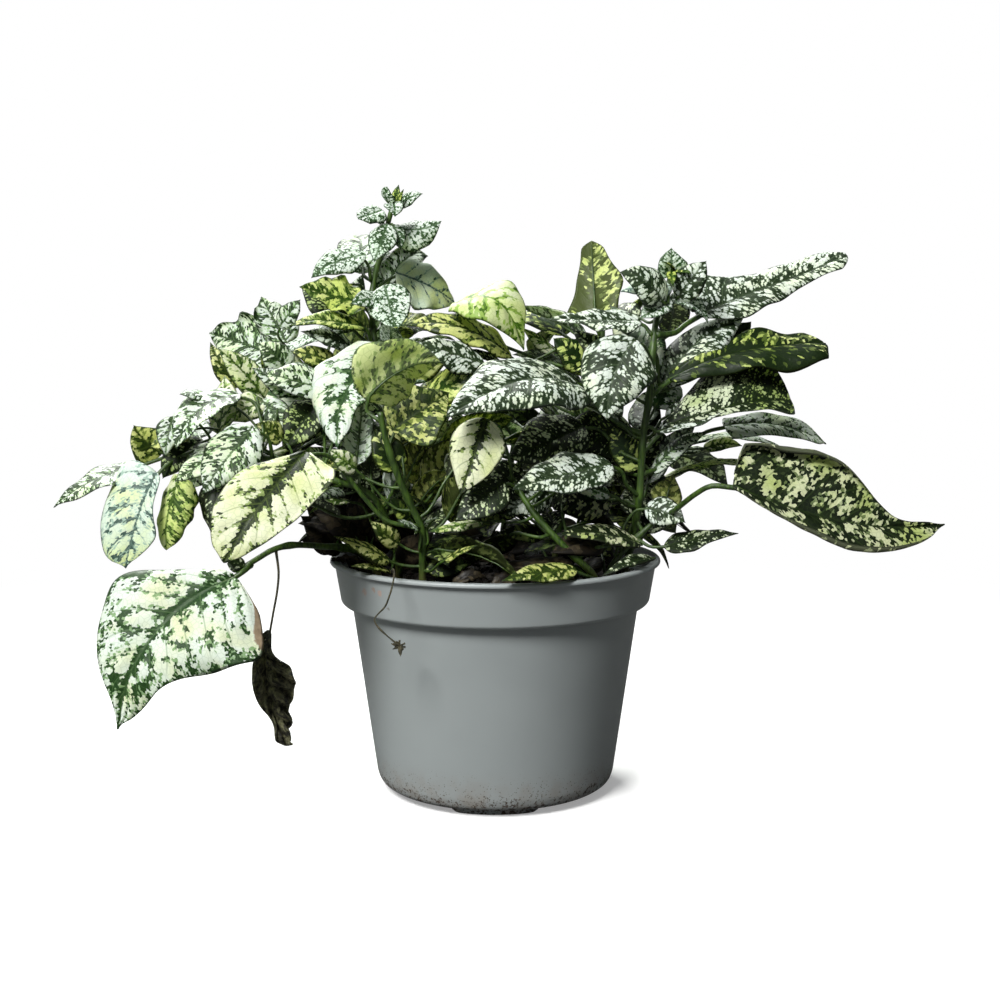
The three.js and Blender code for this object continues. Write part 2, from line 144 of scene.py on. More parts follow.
def welded(node):
    """A CAD node's points in millimetres, each once, and its triangles as indexes into them."""
    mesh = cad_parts[node].data
    places = np.array([v.co for v in mesh.vertices], float)
    _, first, index = np.unique(np.round(places / WELD), axis=0, return_index=True, return_inverse=True)
    mesh.calc_loop_triangles()
    corners = np.array([t.vertices for t in mesh.loop_triangles])
    return places[first] / MM, index.ravel()[corners]


def links_of(triangles, count):
    """For each point, the set of points that share an edge with it."""
    links = [set() for _ in range(count)]
    for a, b, c in triangles:
        links[a] |= {b, c}
        links[b] |= {a, c}
        links[c] |= {a, b}
    return links


# How many points each ring of a CAD leaf or tube has.
RING = 8


def leaf_rings(node):
    """A CAD leaf's rings of eight points, from the stem to the tip, and its tip.

    In each ring point 0 is the left margin, 2 the upper side of the midrib, 4 the right margin.
    """
    points, triangles = welded(node)
    links = links_of(triangles, len(points))
    tip = next(
        i for i, near in enumerate(links) if len(near) == RING and all(len(links[n]) == 5 for n in near)
    )
    after = {}
    for triangle in triangles:
        if tip in triangle:
            turn = list(triangle).index(tip)
            after[triangle[(turn + 1) % 3]] = triangle[(turn + 2) % 3]
    ring = [min(after)]
    while len(ring) < RING:
        ring.append(after[ring[-1]])
    rings, seen = [ring], {tip, *ring}
    while len(seen) < len(points):
        ring = [
            next(iter((links[a] & links[b]) - seen))
            for a, b in zip(ring, ring[1:] + ring[:1], strict=True)
        ]
        seen |= set(ring)
        rings.append(ring)
    places = points[np.array(rings[::-1])]
    stalk = places[0]
    groove = int(np.argmin(np.linalg.norm(stalk - stalk.mean(axis=0), axis=1)))
    return np.roll(places, 2 - groove, axis=1), points[tip]


def tube_line(node):
    """A CAD tube's centre line, from its lowest end up, and its radius."""
    points, triangles = welded(node)
    links = links_of(triangles, len(points))
    ring = set(np.argsort(points[:, 2])[:RING].tolist())
    seen, centres = set(), []
    while ring:
        centres.append(points[list(ring)].mean(axis=0))
        seen |= ring
        ring = set().union(*(links[i] for i in ring)) - seen
    first = points[list(np.argsort(points[:, 2])[:RING])]
    return np.array(centres), float(np.linalg.norm(first - first.mean(axis=0), axis=1).mean())


# ---- Making objects ----

def add_object(name, data):
    """A new object in the scene."""
    made = bpy.data.objects.new(name, data)
    bpy.context.scene.collection.objects.link(made)
    return made


class Build:
    """Gathers several bodies of points and faces, in millimetres, into one mesh."""

    def __init__(self):
        self.points, self.faces, self.slots, self.fields = [], [], [], {}
        self.count = 0

    def add(self, points, faces, slot=0, **fields):
        """Adds a body. slot is its material's number, and fields are its point attributes by name."""
        points = np.asarray(points, float).reshape(-1, 3)
        self.points.append(points)
        self.faces += [[i + self.count for i in face] for face in faces]
        self.slots += [slot] * len(faces)
        for name, values in fields.items():
            self.fields.setdefault(name, []).append((self.count, np.asarray(values).reshape(-1, 3)))
        self.count += len(points)

    def mesh(self, name):
        mesh = bpy.data.meshes.new(name)
        mesh.from_pydata((np.concatenate(self.points) * MM).tolist(), [], self.faces)
        return mesh

    def add_fields(self, mesh):
        """Writes the point attributes, which are 0 on bodies without them."""
        for field, parts in self.fields.items():
            values = np.zeros((self.count, 3), np.float32)
            for start, part in parts:
                values[start:start + len(part)] = part
            made = mesh.attributes.new(field, "FLOAT_VECTOR", "POINT")
            made.data.foreach_set("vector", values.ravel())

    def piece(self, name, materials, slot, replaces=()):
        """All the bodies as one smooth-shaded piece that rides on the plant's only body."""
        mesh = self.mesh(name)
        for made in materials:
            mesh.materials.append(made)
        mesh.polygons.foreach_set("use_smooth", [True] * len(mesh.polygons))
        mesh.polygons.foreach_set("material_index", np.asarray(self.slots, np.int32))
        self.add_fields(mesh)
        mesh.update()
        piece = add_object(name, mesh)
        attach(piece, "root")
        if replaces:
            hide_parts(*replaces)
        return piece


def ring_faces(rings, sides):
    """Faces between rings of that many points each, one after another."""
    faces = []
    for k in range(rings - 1):
        for j in range(sides):
            a, b = k * sides + j, k * sides + (j + 1) % sides
            faces.append([a, b, b + sides, a + sides])
    return faces


def capped_faces(rings, sides):
    """The faces between rings, with one more over each end."""
    last = (rings - 1) * sides
    ends = [list(range(sides))[::-1], list(range(last, last + sides))]
    return ring_faces(rings, sides) + ends


# The way from a tube's middle to the first point of its first ring, before it is set square to the tube.
TUBE_SIDE = (0.3, -1, 0.2)


def tube(line, radii, sides):
    """A closed round tube along a line: its points, its faces and how far along each point is."""
    line = np.asarray(line, float)
    radii = np.broadcast_to(np.asarray(radii, float), len(line))
    ahead = unit(np.gradient(line, axis=0))
    normal = np.array(TUBE_SIDE, float)
    turns = around(sides)
    points = []
    for centre, way, radius in zip(line, ahead, radii, strict=True):
        normal = unit(normal - way * (normal @ way))
        side = np.cross(way, normal)
        points.append(
            centre + radius * (np.cos(turns)[:, None] * normal + np.sin(turns)[:, None] * side)
        )
    return np.concatenate(points), capped_faces(len(line), sides), np.repeat(run_along(line), sides)


# ---- Material nodes ----

class Shade:
    """A material's or a world's node tree, written as expressions. Its methods return output sockets."""

    def __init__(self, name, kind="Material"):
        made_in = {"Material": bpy.data.materials, "World": bpy.data.worlds}[kind]
        self.kind, self.owner = kind, made_in.new(name)
        self.owner.use_nodes = True
        self.tree = self.owner.node_tree
        self.tree.nodes.clear()

    def node(self, kind, inputs=None, **settings):
        """A new node. Each input is a socket to link from, or a constant."""
        made = self.tree.nodes.new(kind)
        for key, value in settings.items():
            setattr(made, key, value)
        for key, value in (inputs or {}).items():
            self.put(made.inputs[key], value)
        return made

    def put(self, socket, value):
        if isinstance(value, bpy.types.NodeSocket):
            self.tree.links.new(value, socket)
        else:
            socket.default_value = value

    def math(self, operation, *values, clamp=False):
        made = self.node("ShaderNodeMath", operation=operation, use_clamp=clamp)
        for socket, value in zip(made.inputs, values, strict=False):
            self.put(socket, value)
        return made.outputs[0]

    def add(self, a, b):
        return self.math("ADD", a, b)

    def sub(self, a, b):
        return self.math("SUBTRACT", a, b)

    def mul(self, a, b):
        return self.math("MULTIPLY", a, b)

    def mad(self, a, b, c):
        return self.math("MULTIPLY_ADD", a, b, c)

    def step(self, value, low, high, to_low=0.0, to_high=1.0, kind="SMOOTHSTEP"):
        """A step of value, from to_low under low to to_high over high, smooth unless kind is LINEAR."""
        inputs = {"Value": value, "From Min": low, "From Max": high, "To Min": to_low, "To Max": to_high}
        return self.node("ShaderNodeMapRange", inputs, interpolation_type=kind).outputs["Result"]

    def mix(self, share, a, b, blend="MIX"):
        """Two colours mixed."""
        made = self.node("ShaderNodeMix", data_type="RGBA", blend_type=blend)
        self.put(made.inputs[0], share)
        self.put(made.inputs[6], a)
        self.put(made.inputs[7], b)
        return made.outputs[2]

    def mix_shaders(self, share, a, b):
        return self.node("ShaderNodeMixShader", {0: share, 1: a, 2: b}).outputs[0]

    def field(self, name):
        """The three numbers of a mesh attribute."""
        return self.split(self.node("ShaderNodeAttribute", attribute_name=name).outputs["Vector"])

    def split(self, vector):
        return tuple(self.node("ShaderNodeSeparateXYZ", {"Vector": vector}).outputs)

    def join(self, x, y, z=0.0):
        return self.node("ShaderNodeCombineXYZ", {"X": x, "Y": y, "Z": z}).outputs[0]

    def scaled(self, vector, scale):
        return self.node("ShaderNodeMapping", {"Vector": vector, "Scale": scale}).outputs[0]

    def places(self):
        """The object's own coordinates, in millimetres."""
        own = self.node("ShaderNodeTexCoord").outputs["Object"]
        inputs = {0: own, "Scale": 1 / MM}
        return self.node("ShaderNodeVectorMath", inputs, operation="SCALE").outputs[0]

    def noise(self, vector, size, detail=2.0, roughness=0.5, colour=False):
        """Smooth noise with features of about this size, 0 to 1."""
        inputs = {"Vector": vector, "Scale": 1 / size, "Detail": detail, "Roughness": roughness}
        made = self.node("ShaderNodeTexNoise", inputs, noise_dimensions="3D")
        return made.outputs["Color" if colour else "Fac"]

    def cells(self, vector, size, feature="F1", dimensions="2D"):
        """A Voronoi node with cells of about this size."""
        inputs = {"Vector": vector, "Scale": 1 / size, "Randomness": 1.0}
        return self.node("ShaderNodeTexVoronoi", inputs, voronoi_dimensions=dimensions, feature=feature)

    def bump(self, height, depth, strength):
        """A bumped normal; depth is in mm."""
        inputs = {"Height": height, "Distance": depth * MM, "Strength": strength}
        return self.node("ShaderNodeBump", inputs).outputs[0]

    def principled(self, colour, roughness, normal, constants=None):
        """A Principled shader. constants are set on its own sockets."""
        inputs = {"Base Color": colour, "Roughness": roughness, "Normal": normal}
        return self.node("ShaderNodeBsdfPrincipled", inputs | (constants or {})).outputs[0]

    def finish(self, shader):
        """Links the shader to the output, and gives the finished material or world."""
        output = self.node("ShaderNodeOutput" + self.kind)
        self.tree.links.new(shader, output.inputs["Surface"])
        return self.owner


# ---- Leaf looks ----

# How a leaf's colours lie: on the pale ground, green follows the midrib, the side veins and the margin in
# jagged cells, and the rest is left as spots.

PALE = (228, 236, 231)
CREAM = (230, 233, 206)

# For each look, the record's material slot, and four screen colours: the ground, the second tone that is
# washed over it, the halo round the dark cells, and the dark cells.
# The yellow-green of the lime and olive looks is partly the leaves' own green and partly painted glow of
# light shining through them, on top of the translucent shader.
LOOK_TONES = {
    "mint": ("leaf_white", (222, 236, 228), (220, 231, 170), (160, 190, 176), (62, 88, 78)),
    "white_net": ("leaf_white", (221, 230, 223), (226, 238, 206), (140, 178, 112), (24, 47, 15)),
    "white_bold": ("leaf_white", PALE, (226, 231, 196), (123, 164, 99), (32, 66, 23)),
    "cream_bold": ("leaf_cream", CREAM, (216, 223, 166), (140, 166, 77), (17, 32, 9)),
    "cream_net": ("leaf_cream", CREAM, (214, 226, 142), (140, 172, 77), (42, 74, 18)),
    "polka": ("leaf_speckled", PALE, (234, 242, 218), (112, 138, 93), (29, 46, 22)),
    "polka_fine": ("leaf_speckled", PALE, (226, 242, 228), (121, 160, 107), (34, 66, 24)),
    "dark_spots": ("leaf_dark", (216, 225, 196), (176, 196, 116), (78, 104, 45), (15, 29, 8)),
    "dark_patch": ("leaf_dark", (214, 219, 180), (182, 196, 122), (78, 102, 46), (15, 27, 8)),
    "lime_pale": ("leaf_lime", (214, 226, 144), (228, 235, 198), (149, 186, 67), (65, 108, 19)),
    # shaded: a darker copy of the leaf looks, painted shade for leaves deep and low in the bush.
    "shaded": ("leaf_dark", (150, 166, 96), (106, 128, 66), (52, 76, 27), (14, 27, 7)),
    "withered": ("dry_leaf", (72, 64, 48), (58, 50, 36), (48, 42, 30), (26, 22, 15)),
    "lime_net": ("leaf_lime", (206, 220, 116), (232, 238, 168), (104, 136, 48), (37, 70, 11)),
    "lime_streak": ("leaf_lime", (210, 224, 132), (228, 236, 160), (50, 84, 19), (19, 42, 7)),
    "olive_streak": ("leaf_olive", (180, 198, 98), (222, 230, 158), (58, 84, 21), (20, 38, 7)),
    "olive_net": ("leaf_olive", (206, 212, 128), (230, 232, 176), (112, 134, 50), (34, 56, 10)),
}

# For each look, the numbers that LOOK_PARTS names.
# spots: the width of one jagged cell in mm. stretch: how far cells reach along the side veins.
# band: the half width of the midrib's band in mm. midrib, veins, patches, grains, margin: how strongly
# the midrib's band, the side veins, soft patches, single cells and the margin turn green.
# cover: how much is green at all. halo_width: how far the middle tone reaches round the dark one.
# dots: 0 for jagged cells, or how fast round pale dots shrink as the leaf turns green.
LOOK_PARTS = ("spots", "stretch", "band", "midrib", "veins", "patches", "grains", "margin", "cover",
              "halo_width", "dots")
LOOK_CELLS = {
    "mint": (0.5, 2.0, 0.9, 0.85, 0.6, 0.55, 0.6, 0.3, -0.02, 0.1, 0),
    "white_net": (0.52, 2.1, 1.0, 0.75, 0.6, 0.7, 0.75, 0.3, 0.1, 0.06, 0),
    "white_bold": (0.62, 1.4, 2.6, 0.8, 0.5, 0.9, 0.6, 0.4, 0.02, 0.1, 0),
    "cream_bold": (0.6, 1.7, 3.4, 0.95, 0.52, 0.55, 0.35, 0.34, -0.12, 0.06, 0),
    "cream_net": (0.58, 1.9, 0.9, 0.75, 0.6, 0.6, 0.6, 0.25, 0.0, 0.12, 0),
    "polka": (1.05, 2.1, 1.5, 0.5, 0.4, 0.85, 0.55, 0.3, 0.15, 0.07, 0.8),
    "polka_fine": (0.8, 1.5, 0.8, 0.4, 0.3, 0.5, 0.5, 0.25, 0.1, 0.09, 0.75),
    "dark_spots": (0.95, 1.8, 1.6, 0.5, 0.4, 0.7, 0.6, 0.35, 0.36, 0.1, 0.8),
    "dark_patch": (0.75, 1.6, 1.3, 0.6, 0.35, 0.95, 0.85, 0.5, 0.4, 0.06, 0),
    "lime_pale": (0.7, 1.7, 0.9, 0.7, 0.55, 0.5, 0.4, 0.25, -0.06, 0.18, 0),
    "shaded": (0.8, 1.8, 1.2, 0.6, 0.45, 0.8, 0.6, 0.4, 0.24, 0.12, 0),
    "withered": (1.1, 1.6, 0.9, 0.6, 0.4, 1.0, 0.5, 0.5, 0.2, 0.2, 0),
    "lime_net": (0.6, 1.8, 1.0, 0.8, 0.6, 0.6, 0.5, 0.35, 0.08, 0.14, 0),
    "lime_streak": (0.7, 2.2, 1.2, 0.6, 0.4, 0.6, 0.6, 0.3, 0.32, 0.12, 0),
    "olive_streak": (0.75, 2.2, 1.3, 0.65, 0.45, 0.6, 0.55, 0.35, 0.34, 0.14, 0),
    "olive_net": (0.75, 1.5, 1.1, 0.8, 0.65, 0.5, 0.5, 0.35, 0.12, 0.1, 0),
}

# How far up the blade a side vein climbs from midrib to margin, as a share of its length; how far cells
# lean the same way; and how much nearer the base left veins stand, as a share of the space between veins.
VEIN_SLOPE = 0.26
LATERAL_LEAN = math.radians(36)
LEFT_VEIN_SHIFT = 0.37


def leaf_look(name):
    """A look's tones and numbers by name."""
    _, *tones = LOOK_TONES[name]
    parts = zip(("ground", "wash", "halo", "dark"), tones, strict=True)
    look = {part: linear(*tone) for part, tone in parts}
    return look | dict(zip(LOOK_PARTS, LOOK_CELLS[name], strict=True))


def slot_of(look):
    """The record's material slot listed for a look."""
    return LOOK_TONES[look][0]


def vein_count(length):
    """How many side veins a blade of this length in mm has on each side."""
    return np.clip(3.2 + length * 0.085, 4, 9)


def leaf_places(s):
    """Where a point is on its leaf, from the four mesh attributes that the leaf materials read.

    in_mm: across (left is negative) and along the blade in mm, and 1 underneath.
    share: the same two as shares, -1 to 1 and 0 to 1, and the leaf's own random number.
    sizes: the half width there and the blade's length in mm, and the number of side veins.
    tone: extra green, extra wash, and dryness.
    """
    at = SimpleNamespace()
    at.across, at.along, at.under = s.field("in_mm")
    at.share_u, at.share_v, at.seed = s.field("share")
    at.half, at.length, at.veins = s.field("sizes")
    at.greener, at.washed, at.dry = s.field("tone")
    at.side = s.math("SIGN", at.across)
    at.out = s.math("ABSOLUTE", at.across)
    at.out_share = s.math("ABSOLUTE", at.share_u)
    at.own = s.join(at.across, at.along, s.mul(at.seed, 37.0))
    at.offset_x = s.add(s.mul(at.seed, 91.0), s.mul(at.side, 53.0))
    at.offset_y = s.mul(at.seed, 57.0)
    at.vein_shift = s.mul(s.step(at.side, -0.5, 0.5, 1.0, 0.0), LEFT_VEIN_SHIFT)
    return at


def jagged_cell(s, at, look):
    """The ragged-edged cell that a point belongs to. All of it takes its tone from its middle."""
    ragged = s.noise(at.own, (0.9 if look["dots"] else 1.3) * look["spots"], 2, colour=True)
    shift_x, shift_y, _ = s.split(ragged)
    cos, sin = math.cos(LATERAL_LEAN), math.sin(LATERAL_LEAN)
    rag = 1.1 * look["spots"]
    x_rag = s.mad(s.sub(shift_x, 0.5), rag, at.out)
    y_rag = s.mad(s.sub(shift_y, 0.5), rag, at.along)
    run = s.add(s.mul(x_rag, cos), s.mul(y_rag, sin))
    rise = s.sub(s.mul(y_rag, cos), s.mul(x_rag, sin))
    place = s.join(s.add(s.mul(run, 1 / look["stretch"]), at.offset_x), s.add(rise, at.offset_y))
    spot = s.cells(place, look["spots"])
    spot_x, spot_y, _ = s.split(spot.outputs["Position"])
    run = s.mul(s.sub(spot_x, at.offset_x), look["stretch"])
    rise = s.sub(spot_y, at.offset_y)

    cell = SimpleNamespace(distance=spot.outputs["Distance"])
    cell.out = s.sub(s.mul(run, cos), s.mul(rise, sin))
    cell.along = s.add(s.mul(run, sin), s.mul(rise, cos))
    cell.chance, _, cell.other_chance = s.split(spot.outputs["Color"])
    cell.u = s.add(at.out_share, s.math("DIVIDE", s.sub(cell.out, at.out), at.half))
    cell.v = s.add(at.share_v, s.math("DIVIDE", s.sub(cell.along, at.along), at.length))
    middle = s.join(s.mul(cell.out, at.side), cell.along, s.mul(at.seed, 23.0))
    cell.patches = s.noise(middle, 5.5, 1.0)
    cell.fine_patches = s.noise(middle, 2.1, 1.0)
    return cell


def greenness(s, at, cell, look):
    """How green a cell is: more on the midrib, the side veins, the margin and in soft patches."""
    band = s.mul(s.step(at.length, 8.0, 56.0, 0.35 * look["band"], 1.1 * look["band"]),
                 s.step(cell.v, 0.1, 1.0, 1.25, 0.45))
    on_midrib = s.math("SUBTRACT", 1.0, s.math("DIVIDE", cell.out, band), clamp=True)
    vein_at = s.mad(s.mad(cell.u, -VEIN_SLOPE, cell.v), at.veins, at.vein_shift)
    off_vein = s.math("ABSOLUTE", s.sub(s.math("FRACT", vein_at), 0.5))
    on_vein = s.math("POWER", s.mul(off_vein, 2.0), 2.2)
    vein_reach = s.step(cell.u, 0.25, 1.05, 1.0, 0.35)
    green = s.add(s.mul(on_midrib, look["midrib"]), look["cover"])
    green = s.mad(s.mul(on_vein, vein_reach), look["veins"], green)
    green = s.mad(s.sub(cell.patches, 0.5), 2.4 * look["patches"], green)
    green = s.mad(s.sub(cell.fine_patches, 0.5), 1.6 * look["patches"], green)
    green = s.mad(s.sub(cell.chance, 0.5), look["grains"], green)
    green = s.mad(s.step(cell.u, 0.78, 1.0), look["margin"], green)
    return s.add(green, at.greener)


def dark_and_halo(s, at, cell, look):
    """How far a point has the dark tone, and how far the halo's or the dark one, each 0 to 1."""
    green = greenness(s, at, cell, look)
    if look["dots"]:
        green = s.mad(s.sub(s.noise(at.own, 1.1 * look["spots"], 2.0), 0.5), 0.9, green)
        gap = s.mad(s.sub(green, 0.2), look["dots"], cell.distance)
        return s.step(gap, 0.46, 0.54), s.step(gap, 0.34, 0.44)
    halo_edge = 0.38 - look["halo_width"]
    return s.step(green, 0.38, 0.44), s.step(green, halo_edge - 0.04, halo_edge)


def cell_colour(s, at, cell, is_dark, is_halo, look):
    """The three tones, each with its own slow changes."""
    slow = s.noise(at.own, 14.0, 2.0)
    wash_share = s.math("ADD", s.step(slow, 0.42, 0.72), at.washed, clamp=True)
    ground = s.mix(wash_share, look["ground"], look["wash"])
    softer = tuple(0.62 * c + 0.1 * h for c, h in zip(look["dark"], look["halo"], strict=True))
    uneven = s.add(slow, s.mul(s.sub(cell.other_chance, 0.5), 0.5))
    dark = s.mix(s.step(uneven, 0.35, 0.75), look["dark"], softer)
    colour = s.mix(s.mul(is_halo, 0.85), ground, look["halo"])
    return s.mix(is_dark, colour, dark)


def fine_lines(s, at):
    """The thin true veins and the web between them, 0 to 1."""
    true_vein = s.mad(s.mad(at.out_share, -VEIN_SLOPE, at.share_v), at.veins, at.vein_shift)
    to_vein = s.sub(0.5, s.math("ABSOLUTE", s.sub(s.math("FRACT", true_vein), 0.5)))
    vein_gap = s.math("DIVIDE", at.length, at.veins)
    vein_line = s.step(s.mul(to_vein, vein_gap), 0.14, 0.42, 1.0, 0.0)
    vein_line = s.mul(vein_line, s.step(at.out_share, 0.45, 0.95, 0.75, 0.1))
    place = s.join(s.add(at.across, at.offset_x), s.add(at.along, at.offset_y))
    web = s.cells(place, 1.7, "DISTANCE_TO_EDGE").outputs["Distance"]
    return s.math("MAXIMUM", vein_line, s.step(web, 0.02, 0.11, 0.32, 0.0))


def lined(s, at, colour, lines, is_dark, look):
    """The colour with the fine lines, the midrib's line and the rim drawn on it."""
    vein_tone = s.mix(0.5, look["dark"], look["halo"])
    colour = s.mix(s.mul(lines, 0.6), colour, vein_tone)
    rib_line = s.step(at.out, s.mul(0.28, s.step(at.share_v, 0.0, 1.0, 1.3, 0.3)), 0.62, 0.85, 0.0)
    rib_line = s.mul(rib_line, s.mad(is_dark, -0.8, 1.0))
    colour = s.mix(rib_line, colour, vein_tone)
    to_rim = s.mul(s.sub(1.0, at.out_share), at.half)
    return s.mix(s.step(to_rim, 0.18, 0.5, 0.7, 0.0), colour, look["dark"])


def aged(s, at, cell, colour, look):
    """The colour with its dry brown parts, and paler underneath."""
    dry_edge = s.step(s.add(at.dry, s.mul(s.sub(cell.fine_patches, 0.5), 0.8)), 0.4, 0.7)
    dry_tone = s.mix(cell.fine_patches, linear(110, 90, 66), linear(192, 172, 146))
    colour = s.mix(dry_edge, colour, dry_tone)
    pale_side = tuple(0.8 * g + 0.15 * h for g, h in zip(look["ground"], look["halo"], strict=True))
    return s.mix(s.mul(at.under, 0.16), colour, pale_side)


def leaf_material(name):
    """A leaf's material in this look: a satin skin that lets some light through."""
    s, look = Shade("leaf_" + name), leaf_look(name)
    at = leaf_places(s)
    cell = jagged_cell(s, at, look)
    is_dark, is_halo = dark_and_halo(s, at, cell, look)
    lines = fine_lines(s, at)
    colour = cell_colour(s, at, cell, is_dark, is_halo, look)
    colour = lined(s, at, colour, lines, is_dark, look)
    colour = aged(s, at, cell, colour, look)
    height = s.add(s.mul(s.sub(1.0, lines), 0.5), s.mul(s.noise(at.own, 0.9, 3.0), 0.6))
    bump = s.bump(s.mad(is_dark, -0.18, height), 0.16, 0.7)
    rough = s.step(s.noise(at.own, 3.0, 3.0), 0.3, 0.7, 0.4, 0.58)
    skin = s.principled(colour, rough, bump, {"Specular IOR Level": 0.3})
    glow_tone = s.mix(1.0, colour, linear(240, 244, 204), "MULTIPLY")
    glow = s.node("ShaderNodeBsdfTranslucent", {"Color": glow_tone, "Normal": bump})
    return s.finish(s.mix_shaders(0.38, skin, glow.outputs[0]))


# ---- Other materials ----

def stem_material():
    """Young green stalks, ridged and a little hairy, browner where they leave the soil."""
    s = Shade("stem_skin")
    _, above_soil, _ = s.field("in_mm")
    places = s.places()
    streaks = s.noise(s.scaled(places, (1.0, 1.0, 0.16)), 0.9, 3.0)
    slow = s.noise(places, 9.0, 2.0)
    colour = s.mix(s.step(streaks, 0.3, 0.7), linear(25, 46, 8), linear(64, 90, 26))
    colour = s.mix(s.step(slow, 0.4, 0.7, 0.0, 0.5), colour, linear(42, 64, 14))
    woody = s.step(s.mad(slow, 8.0, above_soil), 4.0, 16.0, 0.8, 0.0)
    colour = s.mix(woody, colour, linear(70, 66, 34))
    rough = s.step(slow, 0.3, 0.7, 0.42, 0.6)
    constants = {"Subsurface Weight": 0.15, "Subsurface Radius": (0.6, 1.0, 0.2),
                 "Subsurface Scale": 0.001}
    return s.finish(s.principled(colour, rough, s.bump(streaks, 0.25, 0.6), constants))


# Smears on the pot's rim and wall: place and radius in mm, and tone.
POT_SMEARS = [
    ((-44.7, -36.4, 78.2), 1.5, linear(158, 130, 114)),
    ((-41.2, -40.7, 79.7), 1.1, linear(148, 120, 104)),
    ((-39.0, -42.6, 79.0), 1.2, linear(172, 142, 126)),
    ((-41.5, -33.1, 67.0), 1.1, linear(44, 38, 32)),
    ((-36.0, -44.1, 73.8), 0.8, linear(92, 84, 74)),
    ((-31.5, -42.7, 59.5), 1.0, linear(84, 74, 62)),
]


def soil_stains(s, places, z):
    """How far the pot is stained at its foot: soil in clumps, and fine grains a little higher."""
    clumps = s.noise(places, 1.5, 4.0, 0.72)
    limit = s.add(s.step(z, 2.0, 17.0, 0.5, 0.78), s.mul(s.sub(0.5, s.noise(places, 9.0, 2.0)), 0.22))
    soiled = s.step(s.sub(clumps, limit), 0.0, 0.05, 0.0, 0.9)
    fine = s.cells(places, 0.7, dimensions="3D")
    fine_limit = s.mul(s.step(z, 4.0, 24.0, 0.42, 0.0), s.split(fine.outputs["Color"])[1])
    fine_soil = s.step(s.sub(fine.outputs["Distance"], fine_limit), -0.06, 0.03, 0.75, 0.0)
    return s.math("MAXIMUM", soiled, fine_soil)


def smeared(s, places, colour):
    """The colour with the smears on it."""
    ragged = s.noise(places, 1.4, 4.0, 0.7)
    for place, radius, tone in POT_SMEARS:
        apart = s.node("ShaderNodeVectorMath", {0: places, 1: place}, operation="DISTANCE")
        distance = s.mad(s.sub(ragged, 0.5), radius * 2.6, apart.outputs["Value"])
        colour = s.mix(s.step(distance, 0.6 * radius, radius, 0.65, 0.0), colour, tone)
    return colour


def pot_material():
    """Satin grey moulded plastic with soil splashed round its foot, dust, smears and a few scuffs."""
    s = Shade("pot_plastic_grey")
    places = s.places()
    _, _, z = s.split(places)
    colour = s.mix(s.noise(places, 26.0, 3.0), linear(137, 143, 143), linear(147, 153, 153))
    scuffs = s.noise(s.scaled(places, (1.0, 1.0, 6.0)), 7.0, 4.0, 0.7)
    colour = s.mix(s.step(scuffs, 0.62, 0.8, 0.0, 0.25), colour, linear(142, 146, 142))
    low = s.step(z, 2.0, 19.0, 1.0, 0.0)
    dusty = s.mul(low, s.step(s.noise(places, 5.0, 4.0), 0.35, 0.7, 0.1, 0.5))
    colour = s.mix(dusty, colour, linear(122, 108, 92))
    stains = soil_stains(s, places, z)
    colour = s.mix(stains, smeared(s, places, colour), linear(62, 48, 36))
    bump = s.bump(s.mad(s.noise(places, 0.35, 2.0), 0.25, stains), 0.12, 0.5)
    rough = s.mad(s.sub(scuffs, 0.5), 0.18, s.mad(stains, 0.48, 0.42))
    return s.finish(s.principled(colour, rough, bump, {"Specular IOR Level": 0.45}))


def soil_material():
    """Damp peat: near black, with brown fibres and paler dry crumbs."""
    s = Shade("peat")
    places = s.places()
    crumbs = s.noise(places, 1.6, 5.0, 0.65)
    patches = s.noise(places, 12.0, 3.0)
    colour = s.mix(s.step(crumbs, 0.35, 0.7), linear(10, 8, 6), linear(40, 31, 22))
    colour = s.mix(s.step(patches, 0.5, 0.75, 0.0, 0.3), colour, linear(58, 46, 32))
    return s.finish(s.principled(colour, 0.92, s.bump(crumbs, 1.1, 0.9)))


def dry_material(name, dark, light, size):
    """Dead, crumpled plant matter between two tones."""
    s = Shade(name)
    places = s.places()
    mottled = s.noise(places, size, 4.0, 0.6)
    fine = s.noise(places, size * 0.22, 3.0)
    colour = s.mix(s.step(mottled, 0.36, 0.68), dark, light)
    colour = s.mix(s.step(fine, 0.5, 0.75, 0.0, 0.5), colour, tuple(0.45 * c for c in dark))
    return s.finish(s.principled(colour, 0.82, s.bump(s.add(mottled, fine), 0.4, 0.8)))


leaf_looks = {look: leaf_material(look) for look in LOOK_TONES}
stem_skin = stem_material()
pot_plastic = pot_material()
peat = soil_material()
pale_grit = dry_material("pale_grit", linear(150, 142, 126), linear(214, 208, 196), 0.8)
dry_dark = dry_material("dry_leaf_brown", linear(28, 26, 16), linear(118, 117, 84), 2.6)
dry_thread = dry_material("dry_thread", linear(38, 39, 28), linear(82, 76, 54), 1.6)


# ---- Leaf shapes ----

# The shares along a CAD blade where its rings stand.
BLADE_STATIONS = np.array([0.02, 0.12, 0.28, 0.46, 0.64, 0.81, 0.93])

# In mm: how far apart a blade's points are, and how thick it is along its middle.
GRID_STEP = 1.1
SKIN_THICKNESS = 0.36

# Leaf stalks tell stem_material that they stand this far over the soil, so that none is woody.
CLEAR_OF_SOIL = 40.0


